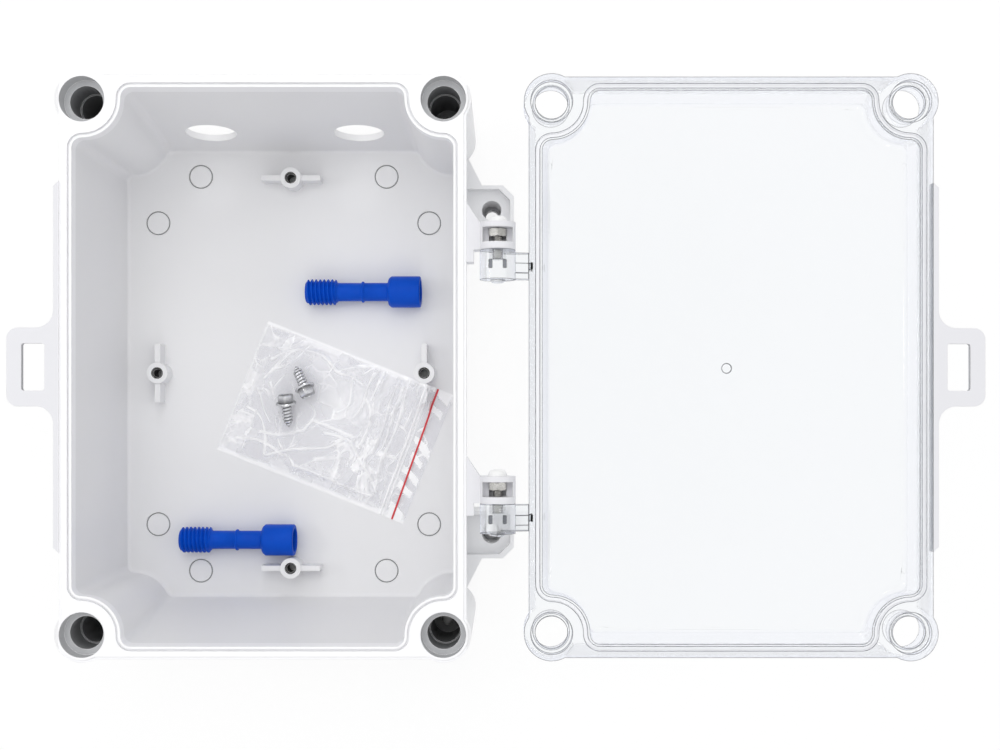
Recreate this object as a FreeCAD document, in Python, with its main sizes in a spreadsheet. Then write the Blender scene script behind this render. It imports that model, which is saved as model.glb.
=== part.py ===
import FreeCAD, Part
import math
import os
import re

import Sketcher
from FreeCAD import Placement, Rotation, Vector

# A hinged polycarbonate enclosure lying on its back, with its lid swung fully open beside it.
# Origin: centre of the back face. +Z points out of the box, +X towards the hinges and the lid.

# Driving sizes in millimetres (angles in degrees): name, value, meaning
SIZES = [
    ("box_width", 195, "rim to rim across, latch side to hinge side"),
    ("box_length", 280, "rim to rim along the hinge line"),
    ("base_height", 103, "back face to the rim"),
    ("lid_height", 17, "parting line to the top of the lid"),
    ("closing_gap", 0.2, "left between the closed lid and the rim"),
    ("corner_round", 12, "rounding of the outline corners"),
    ("wall", 3.5, "side walls of the base"),
    ("floor_thick", 4, "floor of the base"),
    ("end_taper", 11.4, "how far each end wall leans in down to the floor"),
    ("rim_width", 6.2, "top of the base wall, outside to cavity"),
    ("rim_band", 12, "height of the thick band under the rim"),
    ("land_width", 1.3, "lowered outer land of the rim"),
    ("land_drop", 0.8, "how far the outer land lies below the ridge"),
    ("seal_inset", 1.2, "cavity edge to seal groove, base and lid"),
    ("seal_slot", 1.0, "width of the groove in the base rim"),
    ("seal_slot_depth", 1.5, "depth of the groove in the base rim"),
    ("floor_blend", 2, "rounding where floor and walls meet"),
    ("post_inset_across", 11, "side face to the screw axis"),
    ("post_inset_along", 11.75, "end face to the screw axis"),
    ("lobe_radius", 13.4, "outer corner lobe about the screw axis"),
    ("post_radius", 18.6, "corner post about the screw axis, inside the cavity"),
    ("post_blend", 4.8, "rounding between post and wall"),
    ("mouth_bore", 21.8, "wide mouth of the screw bore"),
    ("mouth_depth", 8.3, "depth of the wide mouth"),
    ("shaft_bore", 16.1, "upper screw bore"),
    ("shaft_bore_depth", 25, "rim to the end of the upper bore"),
    ("thread_bore", 14.5, "threaded stretch of the bore, at its crests"),
    ("thread_bore_depth", 58, "rim to the end of the threaded stretch"),
    ("post_hole", 7, "wall fixing hole through the back of each post"),
    ("entry_bore", 26.5, "cable entries in the end wall"),
    ("entry_spacing", 78, "between the two cable entries"),
    ("entry_height", 34, "back face to the entry axis at the outer face"),
    ("stud_across", 72.2, "centre to the two side standoffs"),
    ("stud_along", 105.7, "centre to the two end standoffs"),
    ("stud_height", 12, "standoff above the floor"),
    ("stud_diameter", 11.2, "standoff tube"),
    ("stud_hole", 4.5, "standoff screw hole"),
    ("stud_mouth", 6.3, "lead-in of the standoff hole"),
    ("stud_mouth_depth", 2, "depth of the lead-in"),
    ("wing_thick", 2.9, "rib through each standoff"),
    ("wing_span", 31.6, "length of that rib"),
    ("wing_drop", 1, "rib top below the standoff top"),
    ("ring_diameter", 13.2, "knockout ring in the floor"),
    ("ring_line", 0.7, "width of the ring line"),
    ("ring_depth", 0.5, "depth of the ring line"),
    ("ring_end_across", 51, "rings near the end walls, across"),
    ("ring_end_along", 108.2, "rings near the end walls, along"),
    ("ring_side_across", 74.4, "rings near the side walls, across"),
    ("ring_side_along", 82.7, "rings near the side walls, along"),
    ("foot_reach", 11.4, "side face to the foot hole"),
    ("foot_spacing", 171.6, "between the two foot holes of a side"),
    ("foot_hole", 7, "fixing hole of a foot"),
    ("foot_counterbore", 10.3, "room for the fixing screw head"),
    ("foot_seat", 6, "thickness under the screw head"),
    ("foot_height", 35, "back face to the foot's raised edge"),
    ("foot_recess", 5, "depth inside the raised edge"),
    ("foot_lip", 2, "thickness of the raised edge"),
    ("foot_edge", 11.8, "hole to the outer edge of the foot"),
    ("foot_end", 12.5, "hole to the end edge of the foot"),
    ("foot_chamfer", 5.8, "cut corner of the foot"),
    ("foot_shoulder", 5, "hole back to the start of the gusset"),
    ("foot_gusset", 21.2, "gusset length along the wall"),
    ("rail_length", 178, "latch rail along the wall"),
    ("rail_proud", 2.6, "latch rail out from the wall"),
    ("rail_height", 7, "latch rail down from the parting line"),
    ("rail_chamfer", 2.4, "cut ends of the latch rail"),
    ("tab_reach", 22.4, "padlock tab out from the rail"),
    ("tab_width", 37.8, "padlock tab along the rail"),
    ("tab_thick", 3, "padlock tab"),
    ("tab_corner", 5.5, "outer corners of the tab"),
    ("tab_root", 8.4, "rounding where the tab meets the rail"),
    ("hasp_width", 11, "padlock slot, across"),
    ("hasp_length", 22.6, "padlock slot, along"),
    ("hasp_margin", 7.2, "slot to the outer edge of the tab"),
    ("hasp_round", 1.2, "corners of the padlock slot"),
    ("hinge_reach", 15, "side face to the hinge axis"),
    ("hinge_drop", 2.5, "rim down to the hinge axis"),
    ("hinge_upper", 56.3, "upper hinge: plane between bracket and leaf"),
    ("hinge_lower", -65.3, "lower hinge: plane between bracket and leaf"),
    ("barrel_diameter", 17.2, "bracket barrel and leaf knuckle"),
    ("ear_thick", 3.2, "bracket ear beside the leaf"),
    ("nut_pocket", 7.1, "pocket for the nut, along the axis"),
    ("end_ear", 2.7, "outer ear of the bracket"),
    ("knuckle_length", 14.2, "leaf knuckle"),
    ("side_gap", 0.3, "between bracket and leaf"),
    ("plate_thick", 3.5, "bracket plate on the wall"),
    ("plate_ahead", 6, "plate beside the leaf"),
    ("plate_behind", 9.5, "plate past the outer ear"),
    ("plate_top", 1.4, "plate top above the hinge axis"),
    ("plate_depth", 8.8, "plate bottom below the hinge axis"),
    ("pin_diameter", 5, "hinge pin"),
    ("pin_play", 0.05, "gap round the pin in bracket and nut"),
    ("pin_running", 0.08, "gap round the pin in the leaf"),
    ("pin_reach", 4.4, "pin in the knuckle"),
    ("boss_diameter", 6.8, "round boss on the closed end"),
    ("boss_height", 1.5, "height of that boss"),
    ("nut_width", 8, "nut across flats"),
    ("nut_thick", 4, "nut"),
    ("nut_room", 0.15, "gap round the nut in its pocket"),
    ("mouth_width", 14.4, "open mouth of the nut pocket, across"),
    ("cap_diameter", 9.2, "end cap of the bracket"),
    ("cap_height", 3.2, "end cap dome"),
    ("leaf_arm", 12.8, "leaf arm along the axis"),
    ("leaf_thick", 6.2, "leaf arm where it meets the lid"),
    ("leaf_drop", 0.5, "leaf rib back from the parting line"),
    ("leaf_rib", 4.7, "raised rib of the leaf arm, along the axis"),
    ("leaf_rib_place", 5.8, "knuckle face to that rib"),
    ("leaf_rib_height", 0.8, "height of that rib"),
    ("window_width", 1.4, "relief windows in the knuckle"),
    ("window_length", 3.8, "relief windows, along the axis"),
    ("window_apart", 6.6, "between the two relief windows"),
    ("key_width", 3.2, "key of the leaf in the lid wall, along"),
    ("key_height", 3.6, "key of the leaf, up the wall"),
    ("key_depth", 1.6, "key of the leaf, into the wall"),
    ("key_play", 0.1, "gap round the key"),
    ("lid_rim", 6.5, "lid edge, outside to cavity"),
    ("lid_band", 8, "upright band of the lid above the parting line"),
    ("lid_top", 3, "thickness of the lid top"),
    ("lid_side_taper", 3.4, "sides lean in above the band"),
    ("lid_end_taper", 4.7, "ends lean in above the band"),
    ("lid_blend", 3, "rounding inside the lid top"),
    ("crown_round", 1.5, "rounding of the lid top outside"),
    ("lid_recess", 20.2, "shallow recess round each lid hole"),
    ("lid_recess_depth", 3, "depth of that recess"),
    ("lid_hole", 15.6, "hole for the screw shaft"),
    ("head_pocket", 18, "pocket for the screw head, from the top"),
    ("head_seat", 2.5, "shoulder under the screw head"),
    ("gasket_slot", 2, "seal groove in the lid"),
    ("gasket_slot_depth", 2.5, "depth of that groove"),
    ("gasket_play", 0.1, "gap beside the seal"),
    ("gasket_back", 0.3, "seal back from the parting line"),
    ("gate_mark", 4.8, "moulding mark in the middle of the lid"),
    ("gate_depth", 0.4, "depth of the moulding mark"),
    ("screw_length", 62.4, "lid screw"),
    ("head_diameter", 17, "lid screw head"),
    ("head_length", 16.8, "lid screw head"),
    ("head_bore", 12.6, "hollow of the head"),
    ("head_bore_depth", 13, "depth of that hollow"),
    ("shaft_diameter", 9.9, "lid screw shaft"),
    ("collar_diameter", 11.4, "ring on the shaft"),
    ("collar_length", 1.6, "ring on the shaft"),
    ("collar_place", 31, "thread end to the ring"),
    ("thread_diameter", 14, "lid screw thread, over the crests"),
    ("thread_depth", 1.3, "crest to root"),
    ("thread_length", 17, "threaded end"),
    ("thread_pitch", 2.2, "crest to crest"),
    ("screw_one_across", 7.9, "centre to the thread end of the first loose screw, across"),
    ("screw_one_along", 44.1, "and along"),
    ("screw_two_across", -60.4, "centre to the thread end of the second loose screw, across"),
    ("screw_two_along", -90.5, "and along"),
    ("rest_gap", 0.2, "air under the loose pieces"),
    ("bag_length", 110, "zip bag"),
    ("bag_width", 76, "zip bag"),
    ("bag_thick", 1.2, "zip bag lying flat"),
    ("bag_notch", 19, "folded corner of the bag beside the standoff"),
    ("bag_angle", -21.8, "how the bag lies"),
    ("bag_across", 23, "centre of the bag, across"),
    ("bag_along", -26.7, "centre of the bag, along"),
    ("tapper_length", 13, "self-tapping screw under its head"),
    ("tapper_diameter", 5.5, "self-tapping screw thread"),
    ("tapper_root", 4.2, "self-tapping screw core"),
    ("tapper_pitch", 1.8, "self-tapping screw thread"),
    ("tapper_point", 3.2, "tapered tip"),
    ("washer_diameter", 11, "flange under the head"),
    ("washer_thick", 1.1, "flange under the head"),
    ("tapper_head", 8, "hexagon head across flats"),
    ("tapper_head_height", 4.2, "hexagon head"),
    ("tapper_one_across", 1.6, "centre to the tip of the first screw on the bag, across"),
    ("tapper_one_along", 3.9, "and along"),
    ("tapper_one_angle", -65, "how it points"),
    ("tapper_two_across", -2.2, "centre to the tip of the second screw on the bag, across"),
    ("tapper_two_along", -29.2, "and along"),
    ("tapper_two_angle", 94, "how it points"),
]

doc = FreeCAD.newDocument("hinged_enclosure")
sheet = doc.addObject("Spreadsheet::Sheet", "Sizes")
for row, (alias, value, meaning) in enumerate(SIZES, start=1):
    sheet.set(f"A{row}", meaning)
    sheet.set(f"B{row}", str(value))
    sheet.setAlias(f"B{row}", alias)
doc.recompute()
KNOWN = {alias for alias, _, _ in SIZES}

# Places that several pieces share, as formulas of the sizes
HALF_X = "(box_width / 2)"
HALF_Y = "(box_length / 2)"
POST_X = "(box_width / 2 - post_inset_across)"
POST_Y = "(box_length / 2 - post_inset_along)"
CAVITY_X = "(box_width / 2 - rim_width)"
CAVITY_Y = "(box_length / 2 - rim_width)"
WALL_X = "(box_width / 2 - rim_width + wall)"
LID_CAVITY_X = "(box_width / 2 - lid_rim)"
LID_CAVITY_Y = "(box_length / 2 - lid_rim)"
AXIS_X = "(box_width / 2 + hinge_reach)"
AXIS_Z = "(base_height - hinge_drop)"
CORNERS = [(1, 1), (-1, 1), (-1, -1), (1, -1)]
POSTS = [(f"{across} * {POST_X}", f"{along} * {POST_Y}") for across, along in CORNERS]

nodes = []


def spell(formula):
    """The formula with each size name pointing at its cell."""
    return re.sub(r"[a-z_]+", lambda word: f"Sizes.{word[0]}" if word[0] in KNOWN else word[0], formula)


def number(formula):
    return float(sheet.evalExpression(spell(formula)))


def bind(thing, field, formula):
    thing.setExpression(field, spell(formula))


def put(thing, across, along, up, turn=Rotation()):
    """Place a piece by three formulas, turned about its own origin."""
    thing.Placement = Placement(Vector(number(across), number(along), number(up)), turn)
    for direction, formula in zip("xyz", (across, along, up)):
        bind(thing, f"Placement.Base.{direction}", formula)
    return thing


def node(thing, name):
    """Name a finished piece after its node and keep it for the export."""
    thing.Label = name
    nodes.append(thing)
    return thing


def block(name, sizes, across, along, up):
    """A box given by its three sizes, the middle of its foot and the height of its foot."""
    box = doc.addObject("Part::Box", name)
    for field, formula in zip(("Length", "Width", "Height"), sizes):
        bind(box, field, formula)
    return put(box, f"{across} - ({sizes[0]}) / 2", f"{along} - ({sizes[1]}) / 2", up)


def rod(name, diameter, length, across, along, up, turn=Rotation()):
    """A round bar that starts at a spot and runs up, or where its turn points it."""
    bar = doc.addObject("Part::Cylinder", name)
    bind(bar, "Radius", f"({diameter}) / 2")
    bind(bar, "Height", length)
    return put(bar, across, along, up, turn)


def joined(name, pieces):
    group = doc.addObject("Part::MultiFuse", name)
    group.Shapes = pieces
    return group


def carved(name, stock, tools):
    cut = doc.addObject("Part::Cut", name)
    cut.Base = stock
    cut.Tool = tools[0] if len(tools) == 1 else joined(f"{name}_tools", tools)
    return cut


def new_body(name):
    return doc.addObject("PartDesign::Body", name)


def new_sketch(body, name, lift="0", plane="XY_Plane"):
    """An empty sketch on one of the body's own planes, moved along that plane's normal."""
    sketch = body.newObject("Sketcher::SketchObject", name)
    face = [item for item in body.Origin.OriginFeatures if item.Role == plane][0]
    sketch.AttachmentSupport = [(face, "")]
    sketch.MapMode = "FlatFace"
    bind(sketch, "AttachmentOffset.Base.z", lift)
    return sketch


def fix(sketch, kind, element, end, formula):
    """Hold one end of an element at a formula's distance from the sketch's origin."""
    held = sketch.addConstraint(Sketcher.Constraint(kind, -1, 1, element, end, number(formula)))
    bind(sketch, f"Constraints[{held}]", formula)


def draw_circles(sketch, spots, diameter):
    for across, along in spots:
        radius = number(diameter) / 2
        centre = Vector(number(across), number(along), 0)
        circle = sketch.addGeometry(Part.Circle(centre, Vector(0, 0, 1), radius), False)
        held = sketch.addConstraint(Sketcher.Constraint("Diameter", circle, 2 * radius))
        bind(sketch, f"Constraints[{held}]", diameter)
        fix(sketch, "DistanceX", circle, 3, across)
        fix(sketch, "DistanceY", circle, 3, along)


def draw_outline(sketch, corners):
    """A closed outline. Each corner is two formulas, and a third for its rounding where it has one."""
    count = len(corners)
    spots = [Vector(number(corner[0]), number(corner[1]), 0) for corner in corners]
    starts, ends = [], []
    for here in range(count):
        spot, before, after = spots[here], spots[here - 1], spots[(here + 1) % count]
        to_before, to_after = (before - spot).normalize(), (after - spot).normalize()
        setback = 0
        if len(corners[here]) == 3:
            setback = number(corners[here][2]) / math.tan(to_before.getAngle(to_after) / 2)
        starts.append(spot + to_after * setback)
        ends.append(spot + to_before * setback)
    sides = []
    for here in range(count):
        side = Part.LineSegment(starts[here], ends[(here + 1) % count])
        sides.append(sketch.addGeometry(side, False))
    for here in range(count):
        incoming, outgoing = sides[here - 1], sides[here]
        if len(corners[here]) == 2:
            sketch.addConstraint(Sketcher.Constraint("Coincident", incoming, 2, outgoing, 1))
            fix(sketch, "DistanceX", outgoing, 1, corners[here][0])
            fix(sketch, "DistanceY", outgoing, 1, corners[here][1])
            continue
        radius = number(corners[here][2])
        inward = (starts[here] + ends[here]) * 0.5 - spots[here]
        reach = math.hypot(radius, (starts[here] - spots[here]).Length)
        centre = spots[here] + inward.normalize() * reach
        turns_left = (spots[here] - ends[here]).cross(starts[here] - spots[here]).z > 0
        first, last = (1, 2) if turns_left else (2, 1)
        arc_ends = (ends[here], starts[here]) if turns_left else (starts[here], ends[here])
        angles = [math.atan2(point.y - centre.y, point.x - centre.x) for point in arc_ends]
        sweep = (angles[1] - angles[0]) % (2 * math.pi)
        circle = Part.Circle(centre, Vector(0, 0, 1), radius)
        arc = sketch.addGeometry(Part.ArcOfCircle(circle, angles[0], angles[0] + sweep), False)
        tip = sketch.addGeometry(Part.Point(spots[here]), True)
        sketch.addConstraint(Sketcher.Constraint("Tangent", incoming, 2, arc, first))
        sketch.addConstraint(Sketcher.Constraint("Tangent", arc, last, outgoing, 1))
        held = sketch.addConstraint(Sketcher.Constraint("Radius", arc, radius))
        bind(sketch, f"Constraints[{held}]", corners[here][2])
        sketch.addConstraint(Sketcher.Constraint("PointOnObject", tip, 1, incoming))
        sketch.addConstraint(Sketcher.Constraint("PointOnObject", tip, 1, outgoing))
        fix(sketch, "DistanceX", tip, 1, corners[here][0])
        fix(sketch, "DistanceY", tip, 1, corners[here][1])


def oblong(half_x, half_y, rounding=None):
    """The corners of a centred rectangle, rounded or square."""
    tail = (rounding,) if rounding else ()
    return [(f"{across} * {half_x}", f"{along} * {half_y}") + tail for across, along in CORNERS]


def raised(body, name, sketch, height):
    pad = body.newObject("PartDesign::Pad", name)
    pad.Profile = sketch
    bind(pad, "Length", height)
    return pad


def between(body, name, lower, upper):
    """A loft straight from one sketch to the next."""
    loft = body.newObject("PartDesign::AdditiveLoft", name)
    loft.Profile = lower
    loft.Sections = [upper]
    loft.Ruled = True
    return loft


def raised_outline(body, name, corners, lift, height, plane="XY_Plane"):
    sketch = new_sketch(body, f"{name}_sketch", lift, plane)
    draw_outline(sketch, corners)
    return raised(body, name, sketch, height)


def raised_circles(body, name, spots, diameter, lift, height, plane="XY_Plane"):
    sketch = new_sketch(body, f"{name}_sketch", lift, plane)
    draw_circles(sketch, spots, diameter)
    return raised(body, name, sketch, height)


def rounded(body, name, radius, chosen):
    """Round the edges of the body's last feature that the test picks."""
    doc.recompute()
    last = body.Tip
    picked = [f"Edge{place}" for place, edge in enumerate(last.Shape.Edges, start=1) if chosen(edge)]
    fillet = body.newObject("PartDesign::Fillet", name)
    fillet.Base = (last, picked)
    bind(fillet, "Radius", radius)
    return fillet


def flat_at(level):
    """A test for edges that lie at one height."""
    height = number(level)

    def chosen(edge):
        return all(abs(end - height) < 0.01 for end in (edge.BoundBox.ZMin, edge.BoundBox.ZMax))

    return chosen


def on_post(radius):
    """A test for the upright edges where a corner post leaves a wall."""
    across, along, reach = number(POST_X), number(POST_Y), number(radius)

    def chosen(edge):
        away = [math.hypot(abs(vertex.X) - across, abs(vertex.Y) - along) for vertex in edge.Vertexes]
        return edge.BoundBox.ZLength > 0.1 and all(abs(distance - reach) < 0.01 for distance in away)

    return chosen


def notched_space(name, bottom, top, radius, blend):
    """The room inside the four corner posts: its half sizes and height at the bottom and at the top."""
    body = new_body(name)
    lower = new_sketch(body, f"{name}_lower", bottom[2])
    draw_outline(lower, oblong(bottom[0], bottom[1]))
    upper = new_sketch(body, f"{name}_upper", top[2])
    draw_outline(upper, oblong(top[0], top[1]))
    between(body, f"{name}_loft", lower, upper)
    posts = new_sketch(body, f"{name}_posts", top[2])
    draw_circles(posts, POSTS, f"2 * ({radius})")
    pocket = body.newObject("PartDesign::Pocket", f"{name}_notches")
    pocket.Profile = posts
    pocket.Type = "ThroughAll"
    rounded(body, f"{name}_blend", blend, on_post(radius))
    return body


def seal_ring(name, cavity_x, cavity_y, inner, outer, bottom, top):
    """A ring that follows the cavity edge, between two distances from it."""
    walls = []
    for side, offset in (("outer", outer), ("inner", inner)):
        half_x, half_y = f"({cavity_x} + {offset})", f"({cavity_y} + {offset})"
        wall_space = notched_space(f"{name}_{side}", (half_x, half_y, bottom), (half_x, half_y, top),
                                   f"post_radius - ({offset})", f"post_blend + {offset}")
        walls.append(wall_space)
    return carved(name, walls[0], [walls[1]])


# Base shell: one moulding with leaning end walls, corner posts, standoffs and wall-fixing feet


def end_wall_outside(height):
    """Centre to the outside of a leaning end wall, at a height above the back face."""
    return f"({CAVITY_Y} + wall - end_taper * (base_height - ({height})) / (base_height - floor_thick))"


def base_outside():
    body = new_body("base_outside")
    back = new_sketch(body, "back_outline")
    draw_outline(back, oblong(WALL_X, end_wall_outside("0"), "corner_round"))
    front = new_sketch(body, "front_outline", "base_height - land_drop")
    draw_outline(front, oblong(WALL_X, end_wall_outside("base_height - land_drop"), "corner_round"))
    between(body, "walls", back, front)
    raised_outline(body, "band", oblong(HALF_X, HALF_Y, "corner_round"),
                   "base_height - rim_band", "rim_band - land_drop")
    ridge = oblong(f"({HALF_X} - land_width)", f"({HALF_Y} - land_width)", "corner_round")
    raised_outline(body, "ridge", ridge, "base_height - rim_band", "rim_band")
    raised_circles(body, "lobes", POSTS, "2 * lobe_radius", "0", "base_height - land_drop")
    raised_circles(body, "lobe_ridges", POSTS, "2 * (lobe_radius - land_width)", "0", "base_height")
    for place, (across, along) in enumerate(CORNERS, start=1):
        raised_outline(body, f"foot_{place}", foot_outline(across, along), "0", "foot_height")
    return body


def foot_outline(across, along):
    """A wall-fixing foot with a cut corner and a gusset back to the wall, seen from above."""
    hole_x, hole_y = f"({HALF_X} + foot_reach)", "(foot_spacing / 2)"
    corners = [
        (f"{WALL_X} - wall / 2", f"{hole_y} + foot_end + foot_gusset"),
        (f"{hole_x} - foot_shoulder", f"{hole_y} + foot_end"),
        (f"{hole_x} + foot_edge - foot_chamfer", f"{hole_y} + foot_end"),
        (f"{hole_x} + foot_edge", f"{hole_y} + foot_end - foot_chamfer"),
        (f"{hole_x} + foot_edge", f"{hole_y} - foot_end"),
        (f"{WALL_X} - wall / 2", f"{hole_y} - foot_end"),
    ]
    return [(f"{across} * ({x})", f"{along} * ({y})") for x, y in corners]


def foot_room():
    """What is cut out of the four feet: a shallow recess, the screw head's room and the hole."""
    body = new_body("foot_room")
    hole_x, hole_y = f"({HALF_X} + foot_reach)", "(foot_spacing / 2)"
    spots = [(f"{across} * {hole_x}", f"{along} * {hole_y}") for across, along in CORNERS]
    outer = f"{hole_x} + foot_edge - foot_lip"
    end = f"{hole_y} + foot_end - foot_lip"
    corners = [
        (WALL_X, end),
        (f"{outer} - foot_chamfer", end),
        (outer, f"{end} - foot_chamfer"),
        (outer, f"{hole_y} - foot_end + foot_lip"),
        (WALL_X, f"{hole_y} - foot_end + foot_lip"),
    ]
    for place, (across, along) in enumerate(CORNERS, start=1):
        flat = [(f"{across} * ({x})", f"{along} * ({y})") for x, y in corners]
        raised_outline(body, f"foot_recess_{place}", flat, "foot_height - foot_recess", "foot_recess")
    raised_circles(body, "foot_counterbores", spots, "foot_counterbore", "foot_seat",
                   "foot_height - foot_seat")
    raised_circles(body, "foot_holes", spots, "foot_hole", "0", "foot_height")
    return body


def post_bores():
    """Stepped screw bores down the corner posts, with a fixing hole through the back."""
    body = new_body("post_bores")
    steps = [
        ("mouths", "mouth_bore", "mouth_depth"),
        ("shaft_bores", "shaft_bore", "shaft_bore_depth"),
        ("thread_bores", "thread_bore", "thread_bore_depth"),
        ("post_holes", "post_hole", "base_height"),
    ]
    for name, diameter, depth in steps:
        raised_circles(body, name, POSTS, diameter, f"base_height - {depth}", depth)
    return body


def floor_rings():
    body = new_body("floor_rings")
    sketch = new_sketch(body, "ring_lines", "floor_thick - ring_depth")
    spots = []
    for across, along in CORNERS:
        spots.append((f"{across} * ring_end_across", f"{along} * ring_end_along"))
        spots.append((f"{across} * ring_side_across", f"{along} * ring_side_along"))
    draw_circles(sketch, spots, "ring_diameter")
    draw_circles(sketch, spots, "ring_diameter - 2 * ring_line")
    raised(body, "ring_grooves", sketch, "ring_depth")
    return body


def base_shell():
    cavity = notched_space(
        "cavity",
        (CAVITY_X, f"({CAVITY_Y} - end_taper)", "floor_thick"),
        (CAVITY_X, CAVITY_Y, "base_height"),
        "post_radius", "post_blend")
    rounded(cavity, "floor_edges", "floor_blend", flat_at("floor_thick"))
    hollow = carved("hollow_base", base_outside(), [cavity])

    studs, holes = [], []
    for place, (across, along) in enumerate([(1, 0), (0, 1), (-1, 0), (0, -1)], start=1):
        x, y = f"{across} * stud_across", f"{along} * stud_along"
        span = ("wing_thick", "wing_span") if across else ("wing_span", "wing_thick")
        studs.append(rod(f"stud_{place}", "stud_diameter", "floor_thick / 2 + stud_height",
                         x, y, "floor_thick / 2"))
        wing = span + ("floor_thick / 2 + stud_height - wing_drop",)
        studs.append(block(f"wing_{place}", wing, x, y, "floor_thick / 2"))
        holes.append(rod(f"stud_hole_{place}", "stud_hole", "stud_height", x, y, "floor_thick"))
        holes.append(rod(f"stud_mouth_{place}", "stud_mouth", "stud_mouth_depth", x, y,
                         "floor_thick + stud_height - stud_mouth_depth"))

    lean = math.degrees(math.atan(number("end_taper / (base_height - floor_thick)")))
    outward = Rotation(Vector(1, 0, 0), -(90 + lean))
    for place, side in enumerate((-1, 1), start=1):
        entry = rod(f"entry_{place}", "entry_bore", "4 * wall", f"{side} * entry_spacing / 2",
                    f"{end_wall_outside('entry_height')} - 2 * wall * cos({lean} deg)",
                    f"entry_height + 2 * wall * sin({lean} deg)", outward)
        holes.append(entry)

    slot = seal_ring("base_seal_slot", CAVITY_X, CAVITY_Y, "seal_inset", "(seal_inset + seal_slot)",
                     "base_height - seal_slot_depth", "base_height")
    fitted = joined("base_with_studs", [hollow] + studs)
    return carved("base_moulding", fitted, holes + [post_bores(), foot_room(), floor_rings(), slot])


# Latch rails: a strip with a slotted padlock tab, one on the base and one on the lid


def latch_rail(name, gap_side):
    """The rail lies along -X. Its tab is on the side of the parting line: 1 above the rail, -1 below."""
    body = new_body(name)
    low = "-rail_height" if gap_side > 0 else "0"
    strip = [
        ("0", "rail_length / 2"),
        ("-rail_proud", "rail_length / 2 - rail_chamfer"),
        ("-rail_proud", "-(rail_length / 2 - rail_chamfer)"),
        ("0", "-rail_length / 2"),
    ]
    raised_outline(body, f"{name}_strip", strip, low, "rail_height")
    root = "-rail_proud / 2"
    tip = "-(rail_proud + tab_reach)"
    tab = [
        (root, "rail_length / 4"),
        ("-rail_proud", "rail_length / 4"),
        ("-rail_proud", "tab_width / 2", "tab_root"),
        (tip, "tab_width / 2", "tab_corner"),
        (tip, "-tab_width / 2", "tab_corner"),
        ("-rail_proud", "-tab_width / 2", "tab_root"),
        ("-rail_proud", "-rail_length / 4"),
        (root, "-rail_length / 4"),
    ]
    tab_low = "-tab_thick" if gap_side > 0 else "0"
    raised_outline(body, f"{name}_tab", tab, tab_low, "tab_thick")
    near, far = f"({tip} + hasp_margin + hasp_width)", f"({tip} + hasp_margin)"
    slot = new_sketch(body, f"{name}_slot", f"{tab_low} + tab_thick")
    slot_corners = [(near, "hasp_length / 2"), (far, "hasp_length / 2"),
                    (far, "-hasp_length / 2"), (near, "-hasp_length / 2")]
    draw_outline(slot, [corner + ("hasp_round",) for corner in slot_corners])
    pocket = body.newObject("PartDesign::Pocket", f"{name}_hasp")
    pocket.Profile = slot
    pocket.Type = "ThroughAll"
    return body


# Hinges: a bracket with a nut pocket on the base, a clear leaf on the lid, and a pin through both.
# Each is drawn about the hinge axis, with the plane between bracket and leaf at y = 0.


def along_axis(name, diameter, start, length, across="0", up="0"):
    """A round bar along +Y from a start height on the hinge axis."""
    return rod(name, diameter, length, across, start, up, Rotation(Vector(1, 0, 0), -90))


def turned_about_axis(body, corners):
    """Turn a half outline about the hinge axis. Each corner is a radius and a place along the axis."""
    sketch = new_sketch(body, f"{body.Name}_profile")
    draw_outline(sketch, corners)
    turned = body.newObject("PartDesign::Revolution", f"{body.Name}_turned")
    turned.Profile = sketch
    turned.ReferenceAxis = (sketch, ["V_Axis"])


def hinge_bracket(name):
    length = "(ear_thick + nut_pocket + end_ear)"
    body = new_body(f"{name}_arm")
    arm = [
        ("-hinge_reach", "plate_top"),
        ("0", "plate_top"),
        ("0", "-barrel_diameter / 2"),
        ("-hinge_reach", "-plate_depth"),
    ]
    raised_outline(body, f"{name}_web", arm, f"-{length}", length, "XZ_Plane")
    plate = [
        ("-hinge_reach", "-plate_ahead"),
        ("plate_thick - hinge_reach", "-plate_ahead"),
        ("plate_thick - hinge_reach", length),
        ("-barrel_diameter / 2", length),
        ("-hinge_reach", f"{length} + plate_behind"),
    ]
    raised_outline(body, f"{name}_plate", plate, "-plate_depth", "plate_depth + plate_top")
    barrel = along_axis(f"{name}_barrel", "barrel_diameter", "0", length)
    solid = joined(f"{name}_solid", [body, barrel])
    bore = along_axis(f"{name}_bore", "pin_diameter + 2 * pin_play", "-side_gap", f"{length} + side_gap")
    middle = "ear_thick + nut_pocket / 2"
    pocket = block(f"{name}_pocket", ("nut_width + 2 * nut_room", "nut_pocket", "barrel_diameter"), "0",
                   middle, "-(nut_width / sqrt(3) + nut_room)")
    mouth = block(f"{name}_mouth", ("mouth_width", "nut_pocket", "barrel_diameter"), "0", middle, "0")
    return carved(name, solid, [bore, pocket, mouth])


def hinge_pin(name):
    """A threaded stud: its plain end in the leaf, its threaded end in the outer ear."""
    body = new_body(name)
    inner = "-(side_gap + pin_reach)"
    outer = "(ear_thick + nut_pocket + end_ear / 2)"
    turned_about_axis(body, [("0", inner), ("pin_diameter / 2", inner),
                             ("pin_diameter / 2", outer), ("0", outer)])
    return body


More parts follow.
